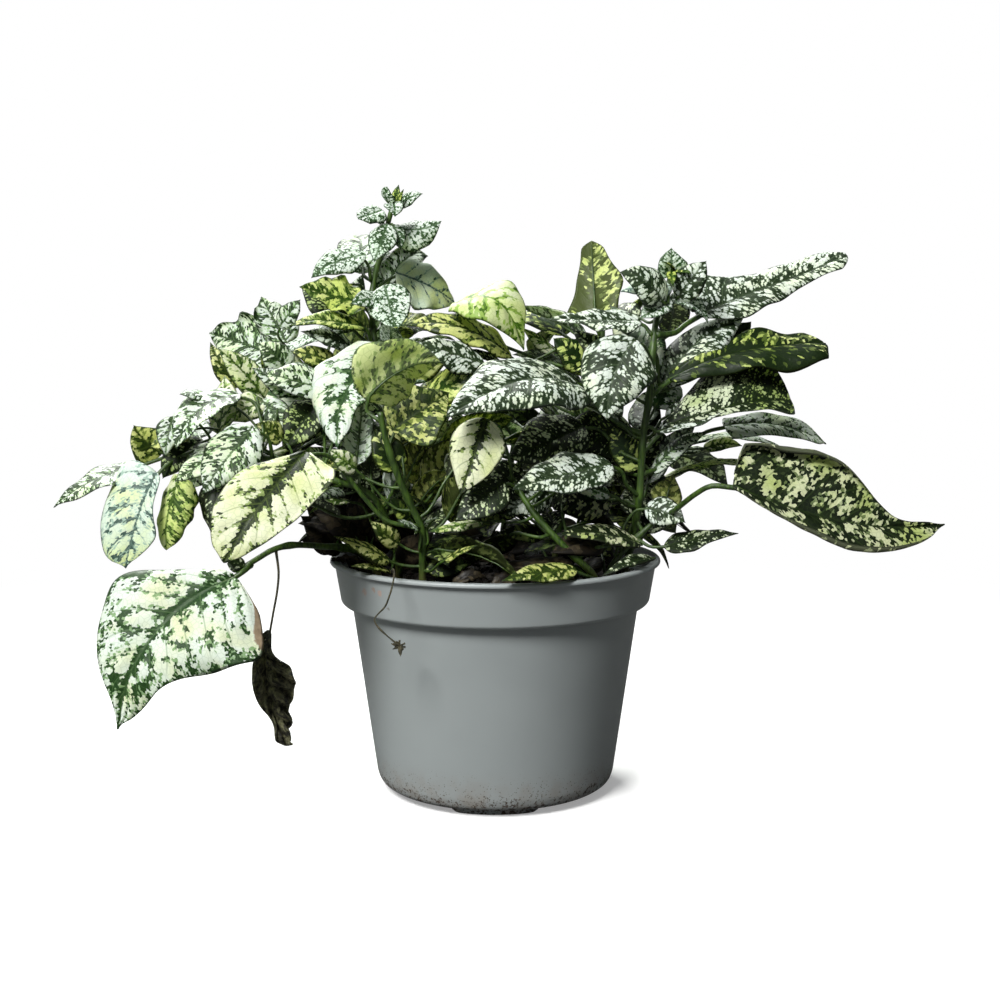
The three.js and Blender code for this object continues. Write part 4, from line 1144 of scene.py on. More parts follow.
# Smaller leaves that have no CAD node of their own, in groups that each make one piece. Each leaf: the
# stem that carries it and how far along, the blade's base from that point, its tip from its base, its
# full width, the way it faces and its look. Lengths in mm.
SMALL_LEAVES = {
    "shoot_tip": [
        ("stem_tall", 1.0, (0, -1, -1), (2, -1, 7), 3.6, FRONT, "lime_net"),
        ("stem_tall", 0.99, (0, -2, 0), (-2, -5, 6), 8, LEFT, "polka_fine"),
        ("stem_tall", 0.98, (1, -4, 2), (1, -7, -5), 8, FRONT, "polka_fine"),
        ("stem_tall", 0.99, (2, 0, 0), (9, -4, 4), 6.5, FRONT, "polka_fine"),
        ("stem_tall", 0.94, (2, -3, 0), (3, -4, -9), 7, FRONT, "polka_fine"),
        ("stem_tall", 1.0, (1, -2, 0), (3, -4, 4), 3, FRONT, "lime_net"),
        ("stem_tall", 0.72, (4, -7, 3), (-10, -9, -1), 9, FRONT, "polka_fine"),
    ],
    "shoot_side": [
        ("stem_tall", 0.62, (-4, -6, 7), (-25, -11, 2), 11, LEFT, "lime_net"),
        ("stem_tall", 0.58, (-10, -4, 6), (-16, -8, 5), 9, LEFT, "polka"),
        ("stem_tall", 0.5, (-16, -2, 10), (-16, -6, 5), 11, LEFT, "olive_net"),
        ("stem_tall", 0.45, (-20, -5, 9), (-23, -10, 3), 14, LEFT, "white_net"),
        ("stem_tall", 0.7, (11, -1, -5), (17, -6, 3), 10, SKY, "polka"),
        ("stem_tall", 0.6, (8, 0, 5), (-1, -16, 4), 12, SKY, "lime_net"),
    ],
    "left_tuft": [
        ("stem_left", 0.5, (-1, 18, 29), (-20, -4, 6), 15, LEFT, "white_net"),
        ("stem_left", 0.45, (-9, 24, 26), (-10, -14, -15), 16, FRONT, "dark_spots"),
        ("stem_left", 0.5, (-11, 28, 24), (-12, -10, -14), 15, FRONT, "white_bold"),
        ("stem_left", 0.6, (-4, 10, 8), (-8, -6, 6), 10, LEFT, "olive_net"),
        ("stem_left", 0.86, (-20, 15, -3), (-8, -6, 10), 14, LEFT, "olive_net"),
        ("stem_left", 0.85, (-13, -1, 11), (-2, -6, -13), 9, FRONT, "white_net"),
        ("stem_left", 0.62, (-29, 10, 7), (-13, -8, -12), 13, FRONT, "dark_spots"),
        ("stem_left", 0.6, (-22, 6, 6), (-13, -8, -14), 14, FRONT, "white_net"),
        ("stem_left", 0.7, (-17, 11, 19), (-10, -8, 2), 11, SKY, "white_net"),
        ("stem_left", 0.75, (-20, 6, 7), (-12, -6, -5), 12, SKY, "olive_net"),
    ],
    "left_gap": [
        ("stem_back_left", 0.9, (-13, -31, -8), (-15, -6, 18), 12, FRONT, "cream_net"),
        ("stem_back_left", 0.8, (-4, -35, 0), (-17, -8, 11), 12, FRONT, "white_net"),
        ("stem_back_left", 0.7, (-22, -38, 4), (-16, -6, 3), 10, FRONT, "dark_spots"),
        ("stem_left", 0.7, (-1, 23, 17), (-14, -6, -6), 13, FRONT, "cream_net"),
        ("stem_left", 0.7, (-3, 23, 18), (10, -8, -14), 12, FRONT, "white_net"),
        ("stem_back_left", 1.0, (-3, -16, 11), (8, -4, 10), 9, FRONT, "white_net"),
        ("stem_back_left", 0.95, (-22, -15, -8), (-10, -2, 17), 9, FRONT, "olive_net"),
        ("stem_back_left", 0.85, (-7, -35, 5), (-10, -4, 11), 13, FRONT, "white_net"),
    ],
    "centre_tuft": [
        ("stem_upper_right", 0.72, (-34, 5, 15), (-27, -4, 11), 13, SKY, "polka"),
        ("stem_upper_right", 0.62, (-37, -1, 16), (-17, -14, -8), 16, FRONT, "dark_spots"),
        ("stem_upper_right", 0.85, (-15, 11, 4), (-12, -2, 8), 12, SKY, "cream_net"),
        ("stem_upper_right", 0.7, (0, -4, 10), (-13, -4, 12), 13, LEFT, "lime_streak"),
        ("stem_upper_right", 0.9, (-25, 16, -3), (10, 2, 11), 10, BACKLIT, "cream_net"),
        ("stem_centre", 0.6, (1, 11, 1), (8, 8, 17), 15, BACKLIT, "olive_net"),
        ("stem_centre", 0.45, (1, 14, 0), (12, -2, 12), 15, BACKLIT, "olive_net"),
        ("stem_centre", 0.7, (0, 11, -2), (-8, 2, 14), 12, FRONT, "olive_streak"),
        ("stem_centre", 0.5, (6, 15, -1), (14, 12, 20), 18, BACKLIT, "olive_net"),
        ("stem_centre", 0.45, (-19, -2, 14), (-8, -4, 7), 9, FRONT, "cream_net"),
        ("stem_upper_right", 0.95, (-36, 2, -10), (-15, -4, 5), 7, SKY, "dark_spots"),
    ],
    "inner_right": [
        ("stem_front_right", 0.75, (8, 10, 4), (-16, -6, -7), 14, FRONT, "polka"),
        ("stem_front_right", 0.3, (22, 9, 4), (-28, -12, 5), 14, SKY, "dark_patch"),
        ("stem_right", 0.45, (-2, 16, 3), (-26, -12, 1), 22, FRONT, "dark_spots"),
        ("stem_right", 0.35, (-13, 15, 1), (-28, -12, 8), 22, FRONT, "dark_spots"),
        ("stem_front_right", 0.9, (2, 9, 5), (-16, -6, -10), 16, FRONT, "dark_spots"),
        ("stem_right", 0.25, (-8, 17, 1), (-25, -8, 1), 18, FRONT, "dark_patch"),
        ("stem_right", 0.42, (0, 2, -5), (-10, 2, 14), 12, LEFT, "lime_streak"),
        # The next three take the shaded look: darker leaves as painted shade in gaps deep in the bush.
        ("stem_front_right", 0.5, (-3, 22, 0), (-16, -14, 1), 9, FRONT, "shaded"),
        ("stem_front_right", 0.5, (-14, 20, 6), (-16, -16, 0), 8, FRONT, "shaded"),
        ("stem_front_right", 0.8, (7, 21, 23), (-13, -2, 7), 8, FRONT, "shaded"),
    ],
    "right_bud": [
        ("stem_right", 1.0, (0, -2, -2), (-1, -2, 9), 12, FRONT, "polka_fine"),
        ("stem_right", 0.97, (0, -3, -3), (-18, -10, -2), 13, SKY, "mint"),
        ("stem_right", 1.0, (0, -4, 0), (-5, -6, 2), 4, SKY, "lime_net"),
        ("stem_right", 1.0, (0, -4, -1), (5, -6, -1), 4, SKY, "lime_net"),
        ("stem_right", 1.0, (-1, -6, -1), (0, -6, -5), 4, FRONT, "lime_net"),
        ("stem_right", 0.93, (-2, -9, -5), (-15, -6, 11), 15, FRONT, "polka"),
        ("stem_right", 0.93, (0, -3, -2), (-10, -10, -8), 10, FRONT, "polka_fine"),
        ("stem_right", 0.95, (3, -2, -5), (9, -4, 13), 12, FRONT, "polka"),
        ("stem_right", 0.93, (1, 1, -3), (14, -2, -8), 10, RIGHT, "polka_fine"),
    ],
    "right_tuft": [
        ("stem_right", 0.72, (5, 7, -12), (29, 14, 23), 24, LEFT, "polka"),
        ("stem_right", 0.5, (5, 0, -2), (33, 8, 11), 15, SKY, "polka"),
        ("stem_right", 0.6, (31, 28, 18), (8, 0, 6), 8, FRONT, "dark_spots"),
        ("stem_right", 0.38, (4, 3, -3), (19, 6, 15), 9, LEFT, "white_net"),
        ("stem_right", 0.6, (20, 20, 8), (16, 2, 5), 9, FRONT, "olive_net"),
        ("stem_right", 0.5, (25, 34, -11), (14, -2, 2), 6, FRONT, "cream_net"),
        ("stem_low_right", 0.6, (10, 8, 9), (3, 2, 12), 14, BACKLIT, "olive_net"),
        ("stem_low_right", 0.45, (6, -2, 14), (13, -6, -4), 13, FRONT, "polka"),
        ("stem_low_right", 0.25, (12, -14, 4), (-18, -14, -3), 6.5, SKY, "dark_spots"),
    ],
    "withered_left": [
        ("stem_low_left", 0.3, (4, 2, 3), (-14, -6, 11), 12, FRONT, "withered"),
        ("stem_low_left", 0.22, (3, 5, 4), (-4, -6, 17), 13, FRONT, "withered"),
        ("stem_low_left", 0.35, (1, 6, 5), (-16, 2, 3), 11, SKY, "withered"),
        ("stem_low_left", 0.15, (2, 3, 6), (9, -6, 13), 13, FRONT, "withered"),
        ("stem_low_left", 0.3, (2, 8, 8), (-6, 3, 14), 14, FRONT, "withered"),
        ("stem_low_left", 0.1, (4, 8, 2), (-8, 5, 16), 14, FRONT, "withered"),
        ("stem_low_left", 0.3, (-4, 11, -2), (-12, -6, 13), 13, FRONT, "withered"),
        ("stem_low_left", 0.3, (-3, 13, -3), (-14, -6, 5), 11, FRONT, "withered"),
        ("stem_low_left", 0.2, (-10, 15, 5), (-11, -6, 14), 14, FRONT, "withered"),
    ],
    "low_front": [
        ("stem_centre", 0.12, (-11, -2, 2), (-18, -10, 10), 11, SKY, "olive_net"),
        ("stem_left", 0.12, (-15, -4, 17), (-14, -6, -3), 5, SKY, "cream_net"),
        ("stem_centre", 0.22, (-1, -4, 7), (-7, -6, 4), 6, SKY, "white_net"),
        ("stem_centre", 0.25, (2, -3, 6), (4, -8, 4), 5, SKY, "white_net"),
        ("stem_front_right", 0.7, (-18, 4, -3), (-16, -10, -2), 7, SKY, "cream_net"),
        ("stem_centre", 0.1, (8, -10, 5), (11, -6, 6), 6, SKY, "olive_net"),
        ("stem_low_left", 0.97, (0, -3, 0), (-6, -4, 4), 5, FRONT, "dark_spots"),
        ("stem_low_left", 0.97, (-1, -3, -1), (-5, 2, 2), 4, FRONT, "dark_spots"),
        ("stem_left", 0.1, (-2, -7, -5), (-11, -20, 5), 9, SKY, "olive_net"),
        ("stem_centre", 0.2, (-8, 0, 3), (-9, -6, 9), 8, FRONT, "olive_net"),
        ("stem_centre", 0.25, (-4, 3, 8), (-7, -4, 8), 7, FRONT, "olive_streak"),
    ],
}


def stalk_path(stem, at, base, ahead):
    """A stalk that leaves its stem square to it and runs into the blade."""
    start, way = stem_point(stem, at)
    away = base - start
    away = unit(away - way * (away @ way))
    start = start + away * stem_lines[stem][1] * 0.9
    reach = np.linalg.norm(base - start) / 3
    bends = (start, start + away * reach, base - ahead * reach)
    t = np.linspace(0, 1, 6)[:-1, None]
    return (
        bends[0] * (1 - t) ** 3 + bends[1] * 3 * t * (1 - t) ** 2
        + bends[2] * 3 * t * t * (1 - t) + base * t ** 3
    )


def add_small_leaf(build, spec, seed, slots):
    """Adds one leaf of SMALL_LEAVES."""
    stem, at, from_stem, to_tip, width, face, look = spec
    rng = np.random.default_rng(seed)
    base = stem_point(stem, at)[0] + np.array(from_stem, float)
    tip = base + np.array(to_tip, float)
    reach = np.linalg.norm(tip - base)
    blade = Blade.from_ends(
        base, tip, face, width, stalk_path(stem, at, base, unit(tip - base)),
        arch=reach * rng.uniform(0.02, 0.14), bend=reach * rng.uniform(-0.08, 0.08),
        fold=rng.uniform(-12, 20), peak=rng.uniform(0.33, 0.42), taper=rng.uniform(1.3, 1.7),
    )
    add_leaf(build, blade, varied(rng), seed, slots[look], slots["stem"])


def look_materials(looks):
    """The materials of a piece with several looks, and the number of each; the stalks' comes last."""
    slots = {look: number for number, look in enumerate((*looks, "stem"))}
    return [leaf_looks[look] for look in looks] + [stem_skin], slots


def leaf_group(name, specs, seed):
    """Several small leaves as one piece, with one material for each look among them."""
    materials, slots = look_materials(sorted({spec[-1] for spec in specs}))
    build = Build()
    for number, spec in enumerate(specs):
        add_small_leaf(build, spec, seed + number, slots)
    build.piece(name, materials, slot_of(specs[0][-1]))


# ---- Leaves that fill the bush ----

# The view from the front is a square of VIEW_CELLS by VIEW_CELLS cells, with the floor in row VIEW_BOTTOM.
# VIEW_CELL and SPACE_CELL are the widths in mm of the cells of the view and of space.
VIEW_CELLS = 240
VIEW_BOTTOM = 10
VIEW_CELL = 2.0
SPACE_CELL = 3.0
NEIGHBOURS = ((0, 1), (0, -1), (1, 1), (1, -1))

# Gaps in the plant's outline up to twice EDGE_GAP_CELLS wide count as inside it, and up to twice
# INNER_GAP_CELLS where they are within INNER_REACH of the pot's axis.
EDGE_GAP_CELLS = 2
INNER_GAP_CELLS = 8
INNER_REACH = 72.0

# Where a leaf may lie, in mm: over LOWEST, over OVER_LIP within POT_REACH of the axis, and over OVER_SOIL
# within SOIL_REACH. Then the most of it, as shares, that may lie outside the plant's outline, in front
# of other leaves, and in space that is taken.
LOWEST = 62.0
POT_REACH, OVER_LIP = 66.0, 90.0
SOIL_REACH, OVER_SOIL = 50.0, 82.0
MOST_OUTSIDE, MOST_IN_FRONT, MOST_SHARED = 0.02, 0.06, 0.08

# How far apart the points of these leaves are in mm, and how many leaves are tried for each place.
FILL_STEP = 1.8
FILL_TRIES = 20

# Two rounds of leaves. shares, spacing: the part of each stem that carries them and how far apart its
# joints are in mm. reach: their length. rise: how steeply they point up, in radians. off: how far their
# stalks reach. front: how much they face the front. least: how many open cells of the view each fills.
FILL_ROUNDS = [
    dict(shares=(0.1, 0.88), spacing=8.0, reach=(17, 38), rise=(-0.35, 0.75), off=(5, 18),
         front=0.0, least=0),
    dict(shares=(0.03, 0.7), spacing=3.5, reach=(15, 30), rise=(-0.3, 1.1), off=(4, 14),
         front=1.0, least=4),
]

# Leaves of the second round and leaves below SHADE_HEIGHT take one of the first two of these looks, and
# leaves below LITTER_HEIGHT one of the last two. Choosing these darker looks there paints the shade that
# falls deep and low in the bush.
SHADE_LOOKS = ("dark_spots", "shaded", "withered")
SHADE_HEIGHT = 114.0
LITTER_HEIGHT = 100.0

# The looks of the other leaves on each stem.
FILL_LOOKS = {
    "stem_tall": ("white_net", "polka_fine", "lime_net"),
    "stem_left": ("white_net", "cream_net", "dark_spots"),
    "stem_centre": ("olive_net", "lime_streak", "dark_spots"),
    "stem_right": ("polka", "dark_spots", "white_bold"),
    "stem_front_right": ("polka", "dark_patch", "dark_spots"),
    "stem_low_right": ("dark_spots", "olive_streak", "polka"),
    "stem_upper_right": ("polka", "lime_streak", "white_net"),
    "stem_back_left": ("white_net", "white_bold", "polka", "cream_net"),
    "stem_back_mid": ("polka", "white_net", "lime_net", "white_bold"),
    "stem_back_right": ("polka", "white_bold", "dark_spots", "cream_net"),
}


def grown(cells, count):
    """The marked cells of a plane with those up to count steps round them."""
    for _ in range(count):
        wider = cells.copy()
        for axis, step in NEIGHBOURS:
            wider |= np.roll(cells, step, axis=axis)
        cells = wider
    return cells


def closed(cells, count):
    """The marked cells with gaps up to twice this many cells wide filled."""
    return ~grown(~grown(cells, count), count)


class Room:
    """The space that the leaves take: as seen from the front, and in cells."""

    def __init__(self, blades):
        self.taken = set()
        self.nearest = np.full((VIEW_CELLS, VIEW_CELLS), np.inf)
        for points in blades:
            self.taken |= self.cells_of(points)
            np.minimum.at(self.nearest, self.seen_at(points), points[:, 1])
        self.shown = np.isfinite(self.nearest)
        self.outline = self.plant_outline()
        for _ in range(2):
            for axis, step in NEIGHBOURS:
                self.nearest = np.minimum(self.nearest, np.roll(self.nearest, step, axis=axis))

    def plant_outline(self):
        """The cells inside the outline of the leaves, with the gaps between them closed."""
        radius, _, height = welded("pot")[0].max(axis=0)
        corners = np.array([[-radius, 0, 0], [radius, -radius, height], [0, -radius, height]])
        (left, right, _), (_, _, lip) = self.seen_at(corners)
        pot = np.zeros_like(self.shown)
        pot[left:right, :lip] = True
        inner = np.zeros_like(self.shown)
        axis, reach = VIEW_CELLS // 2, int(INNER_REACH / VIEW_CELL)
        inner[axis - reach:axis + reach] = True
        solid = self.shown | pot
        outline = closed(solid, EDGE_GAP_CELLS) | (closed(solid, INNER_GAP_CELLS) & inner)
        outline[:, :lip] &= self.shown[:, :lip]
        return ~grown(~outline, 1)

    def seen_at(self, points):
        """The cells of an upright plane through the pot's axis where these points show from the front."""
        eye = np.array(CAMERA_PLACE) / MM
        share = -eye[1] / (points[:, 1] - eye[1])
        shown = eye + (points - eye) * share[:, None]
        cells = np.round(shown[:, [0, 2]] / VIEW_CELL).astype(int) + [VIEW_CELLS // 2, VIEW_BOTTOM]
        return tuple(np.clip(cells, 0, VIEW_CELLS - 1).T)

    def cells_of(self, points):
        return {tuple(cell) for cell in np.round(points / SPACE_CELL).astype(int).tolist()}

    def take(self, points):
        self.taken |= self.cells_of(points)
        self.shown[self.seen_at(points)] = True

    def gaps_filled(self, points):
        """How many open cells of the front view these points would cover."""
        seen = np.unique(np.stack(self.seen_at(points)), axis=1)
        return int((~self.shown[tuple(seen)] & self.outline[tuple(seen)]).sum())

    def allows(self, points):
        """True where a leaf stays behind the others and inside their outline, clear of leaves and pot."""
        low, high = np.array(cad_box) / MM
        if (points < low + [2, 2, LOWEST]).any() or (points > high - [2, 2, 2]).any():
            return False
        from_axis = np.hypot(points[:, 0], points[:, 1])
        clear = np.where(from_axis < SOIL_REACH, OVER_SOIL, OVER_LIP)
        if ((from_axis < POT_REACH) & (points[:, 2] < clear)).any():
            return False
        seen = self.seen_at(points)
        covers = (points[:, 1] < self.nearest[seen] - 1) & np.isfinite(self.nearest[seen])
        if (~self.outline[seen]).mean() > MOST_OUTSIDE or covers.mean() > MOST_IN_FRONT:
            return False
        cells = self.cells_of(points)
        return len(cells & self.taken) <= MOST_SHARED * len(cells)


def sketch(blade):
    """A few points over a blade, enough to test where it lies."""
    v, u = np.meshgrid(np.linspace(0.03, 1, 12), np.linspace(-0.95, 0.95, 7), indexing="ij")
    _, right, up = blade.axes(v[:, 0])
    half = blade.half_width(v) * u
    lift = np.abs(half) * math.sin(blade.fold)
    middle = blade.centre(v[:, 0])[:, None]
    flat = middle + right[:, None] * half[..., None] + up[:, None] * lift[..., None]
    return flat.reshape(-1, 3)


def fill_leaf(rng, stem, at, turn, kind):
    """One leaf that leaves its stem at this turn round it."""
    start, way = stem_point(stem, at)
    across = unit(np.cross(way, (0.2, 0.1, 1.0) if abs(way[2]) < 0.9 else (1.0, 0.2, 0.0)))
    out = across * math.cos(turn) + np.cross(way, across) * math.sin(turn)
    reach = rng.uniform(*kind["reach"]) * float(np.interp(at, (0.8, 1.0), (1.0, 0.6)))
    rise = rng.uniform(*kind["rise"])
    ahead = unit(out * math.cos(rise) + np.array([0, 0, math.sin(rise)]) + 0.25 * rng.normal(size=3))
    base = start + unit(out + 0.5 * way) * rng.uniform(*kind["off"]) + rng.normal(size=3) * 1.5
    level = unit(out * [1, 1, 0] + 1e-6)
    face = np.array([0, 0, 1.0]) + level * rng.uniform(0.1, 1.1) + 0.25 * rng.normal(size=3)
    face = face + kind["front"] * np.array([0, -1.6, 0])
    return Blade.from_ends(
        base, base + ahead * reach, face, reach * rng.uniform(0.46, 0.62),
        stalk_path(stem, at, base, ahead), arch=reach * rng.uniform(0.03, 0.15),
        bend=reach * rng.uniform(-0.07, 0.07), fold=rng.uniform(-8, 16),
        peak=rng.uniform(0.33, 0.42), taper=rng.uniform(1.3, 1.7),
    )


def best_leaf(room, rng, stem, at, turn, kind):
    """Of several leaves tried at one joint, the one that fills most of the open view, or None."""
    best, most = None, kind["least"] - 1
    for _ in range(FILL_TRIES):
        blade = fill_leaf(rng, stem, at, turn + rng.normal() * 0.6, kind)
        points = sketch(blade)
        filled = room.gaps_filled(points)
        if filled > most and room.allows(points):
            best, most = blade, filled
    if best is not None:
        room.take(sketch(best))
    return best


def fill_looks(stem, kind, height):
    """The looks that a leaf may take with its middle at this height; the darker ones, low down and in the
    second round, are painted shade.
    """
    if height < LITTER_HEIGHT:
        return SHADE_LOOKS[1:]
    if kind["front"] or height < SHADE_HEIGHT:
        return SHADE_LOOKS[:2]
    return FILL_LOOKS[stem]


def fill_stem(room, build, stem, number, slots):
    """One round's leaves on one stem: a pair at each joint, square to the pair before."""
    kind = FILL_ROUNDS[number]
    # each stem has its own seed in each round, from its name's length and one of its letters
    rng = np.random.default_rng([FILL_SEED, number, len(stem), ord(stem[-3])])
    length = run_along(stem_lines[stem][0])[-1]
    joints = np.linspace(*kind["shares"], int(round(length / kind["spacing"])) + 1)
    for k, at in enumerate(joints):
        for half_turn in (0, 1):
            turn = (k % 2) * math.pi / 2 + half_turn * math.pi
            blade = best_leaf(room, rng, stem, at, turn, kind)
            if blade is None:
                continue
            choices = fill_looks(stem, kind, blade.centre(0.5)[2])
            look = choices[rng.integers(len(choices))]
            seed = int(rng.integers(10**6))
            add_leaf(build, blade, varied(rng), seed, slots[look], slots["stem"], FILL_STEP)


def fill_leaves():
    """Leaves on every stem, wherever there is room for them. Each stem's leaves make one piece."""
    room = Room(all_blades)
    builds = {stem: Build() for stem in FILL_LOOKS}
    parts = {stem: look_materials((*looks, *SHADE_LOOKS)) for stem, looks in FILL_LOOKS.items()}
    for number in range(len(FILL_ROUNDS)):
        for stem, build in builds.items():
            fill_stem(room, build, stem, number, parts[stem][1])
    for stem, build in builds.items():
        if build.points:
            build.piece("fill_" + stem, parts[stem][0], slot_of(FILL_LOOKS[stem][0]))


# ---- Dry leaves and tendril ----

CRUMPLED = SHAPE | dict(puff=0.5, ruffle=0.3, waves=4.5, left_curl=1.8, right_curl=-2.2, wobble=0.16,
                        stalk_radius=0.4, puckers=0.05)
FLAT_CRUMPLED = CRUMPLED | dict(puff=0.3, puckers=0.09, left_curl=0.9, right_curl=-1.1)
PETAL = SHAPE | dict(puff=0.6, ruffle=0.4, stalk_radius=0.25)
PETAL_COUNT = 7


def dry_leaf_piece():
    """The crumpled dark leaf that hangs on a thread, in the place of its CAD node."""
    build = Build()
    shape = CRUMPLED | dict(
        left=(1, 1.4, 2, 8.5, 11, 13.4, 12.4, 9.2, 6.6, 6.2, 2.6, 1.6), left_curl=(1.2, 3.0, 2.8),
        right=(0.8, 4, 3.6, 4.5, 5.5, 5.6, 5.4, 4, 1.5, 0.8, 3.6, 1.2), right_curl=(1.2, 2.6, 2.4),
        puckers=0.28, ruffle=0.3, waves=5, wobble=0.1, twist=0.8, puff=0.8)
    add_leaf(build, Blade.from_node("dry_leaf"), shape, DRY_LEAF_SEED, 0, 1)
    build.piece("fine_dry_leaf", [dry_dark, dry_thread], "dry_leaf", ["dry_leaf"])


def tendril_piece():
    """The dried tendril over the lip: a wiry thread with a small crumpled flower at its low end."""
    centres, radius = tube_line("tendril")
    rng = np.random.default_rng(TENDRIL_SEED)
    line = spline(centres, 90)
    line += 0.25 * np.stack([waves(rng, line, 9.0) for _ in range(3)], axis=1)
    build = Build()
    points, faces, _ = tube(line, radius * (0.75 + 0.12 * waves(rng, line, 5.0)), 8)
    build.add(points, faces)
    foot = line[0]
    for k in range(PETAL_COUNT):
        turn = k * 2.4
        way = unit(np.array([math.cos(turn), -0.25, math.sin(turn) * 0.8 - 0.3]))
        reach = rng.uniform(1.7, 3.4)
        stalk = [foot - way * 0.3, foot + way * 0.3]
        petal = Blade.from_ends(foot, foot + way * reach, rng.normal(size=3), reach * 0.55, stalk)
        add_leaf(build, petal, PETAL, PETAL_SEED + k, 0, 0)
    build.piece("fine_tendril", [dry_thread], "dry_leaf", ["tendril"])


# ---- Pot ----

POT_SEGMENTS = 144
CORNER_ROUNDING = 1.0


def rounded(corners, radius, steps=5):
    """A profile of [radius, height] corners with each turn rounded off."""
    corners = np.asarray(corners, float)
    profile = [corners[0]]
    for before, corner, after in zip(corners, corners[1:], corners[2:]):
        reach = min(radius, np.linalg.norm(before - corner) * 0.45, np.linalg.norm(after - corner) * 0.45)
        start, end = corner + unit(before - corner) * reach, corner + unit(after - corner) * reach
        for t in np.linspace(0, 1, steps):
            profile.append((1 - t) ** 2 * start + 2 * t * (1 - t) * corner + t * t * end)
    return np.array([*profile, corners[-1]])


def pot_section():
    """The pot's section read from its CAD node: the outside from the floor up, then the inside down."""
    points, _ = welded("pot")
    radii = np.round(np.hypot(points[:, 0], points[:, 1]), 2)
    heights = np.round(points[:, 2], 2)

    def wide(z):
        return radii[heights == z].max(), z

    def narrow(z):
        return radii[(heights == z) & (radii > 0)].min(), z

    _, under, turn, floor, corner, step, band_foot, shelf, lip_under, lip_edge, top = np.unique(heights)
    return [
        (0, under), wide(under), wide(turn), wide(corner), narrow(step), wide(step), wide(band_foot),
        narrow(lip_under), wide(lip_under), wide(lip_edge), wide(top), narrow(top), wide(shelf),
        narrow(shelf), narrow(corner), wide(floor), (0, floor),
    ]


def turned(profile, segments, build):
    """Adds a solid of revolution whose profile starts and ends on the axis."""
    turns = around(segments)
    inner = profile[1:-1]
    rings = np.stack([
        inner[:, None, 0] * np.cos(turns), inner[:, None, 0] * np.sin(turns),
        np.repeat(inner[:, None, 1], segments, axis=1),
    ], axis=2)
    points = np.vstack([rings.reshape(-1, 3), [0, 0, profile[0][1]], [0, 0, profile[-1][1]]])
    faces = ring_faces(len(inner), segments)
    first, last = len(points) - 2, len(points) - 1
    start = (len(inner) - 1) * segments
    faces += [[(j + 1) % segments, j, first] for j in range(segments)]
    faces += [[start + j, start + (j + 1) % segments, last] for j in range(segments)]
    build.add(points, faces)


FOOT_COUNT = 4
FOOT_SPAN = math.radians(52)
FOOT_STEPS = 22
FOOT_OVERLAP = 0.6
HOLE_COUNT = 6
HOLE_SIDES = 24


def foot_arc(build, inner, outer, height, middle):
    """One foot: a low arc under the floor, narrower below, its edges rounded."""
    turns = middle + np.linspace(-0.5, 0.5, FOOT_STEPS) * FOOT_SPAN
    ease = np.sqrt(np.clip(1 - np.abs(np.linspace(-1.04, 1.04, FOOT_STEPS)) ** 12, 0.05, 1))
    section = rounded([(inner, height), (inner + 0.3, 0.0), (outer - 0.3, 0.0), (outer, height)], 0.7, 4)
    centre = (inner + outer) / 2
    rings = []
    for turn, share in zip(turns, ease, strict=True):
        radius = centre + (section[:, 0] - centre) * share
        z = height - (height - section[:, 1]) * share
        rings.append(np.stack([radius * math.cos(turn), radius * math.sin(turn), z], axis=1))
    build.add(np.concatenate(rings), capped_faces(FOOT_STEPS, len(section)))


def drill(piece, circle, radius, height):
    """Cuts the drain holes, which stand on a circle, through the pot's floor."""
    build = Build()
    turns = around(HOLE_SIDES)
    for k in range(HOLE_COUNT):
        at = (k + 0.5) * 2 * math.pi / HOLE_COUNT
        ring = np.stack([
            circle * math.cos(at) + radius * np.cos(turns),
            circle * math.sin(at) + radius * np.sin(turns), 0 * turns,
        ], axis=1)
        ends = [ring - [0, 0, height], ring + [0, 0, 3 * height]]
        build.add(np.concatenate(ends), capped_faces(2, HOLE_SIDES))
    cutter = add_object("drill", build.mesh("drill"))
    cut = piece.modifiers.new("holes", "BOOLEAN")
    cut.operation, cut.object, cut.solver = "DIFFERENCE", cutter, "EXACT"
    made = piece.evaluated_get(bpy.context.evaluated_depsgraph_get())
    piece.data = bpy.data.meshes.new_from_object(made)
    piece.modifiers.clear()
    bpy.data.objects.remove(cutter)


def pot_piece():
    """The moulded pot: its CAD section turned with rounded edges, on four low feet, with drain holes."""
    points, _ = welded("pot")
    radii = np.hypot(points[:, 0], points[:, 1])
    on_floor = radii[points[:, 2] < 0.1]
    section = pot_section()
    under, floor = section[0][1], section[-1][1]
    holes = radii[(np.abs(points[:, 2] - floor) < 0.1) & (radii > 1) & (radii < on_floor.min() - 1)]
    build = Build()
    turned(rounded(section, CORNER_ROUNDING), POT_SEGMENTS, build)
    piece = build.piece("fine_pot", [pot_plastic], "pot_plastic", ["pot"])
    drill(piece, (holes.min() + holes.max()) / 2, (holes.max() - holes.min()) / 2, floor)
    piece.data.polygons.foreach_set("use_smooth", [True] * len(piece.data.polygons))
    feet = Build()
    for k in range(FOOT_COUNT):
        foot_arc(feet, on_floor.min(), on_floor.max(), under + FOOT_OVERLAP, (k - 1) * math.pi / 2)
    feet.piece("pot_feet", [pot_plastic], "pot_plastic")


# ---- Soil ----

SOIL_SIDES = 170
SOIL_RINGS = 58


def soil_height(x, y):
    """How far the soil's top stands over its mean level at these places, in mm."""
    rng = np.random.default_rng(SOIL_SEED)
    places = np.stack([np.ravel(x), np.ravel(y)], axis=1)
    lumps = 1.1 * waves(rng, places, 26.0) + 0.7 * waves(rng, places, 11.0, 8)
    lumps += 0.45 * waves(rng, places, 4.5, 10) + 0.22 * waves(rng, places, 2.1, 12)
    return lumps.reshape(np.shape(x))


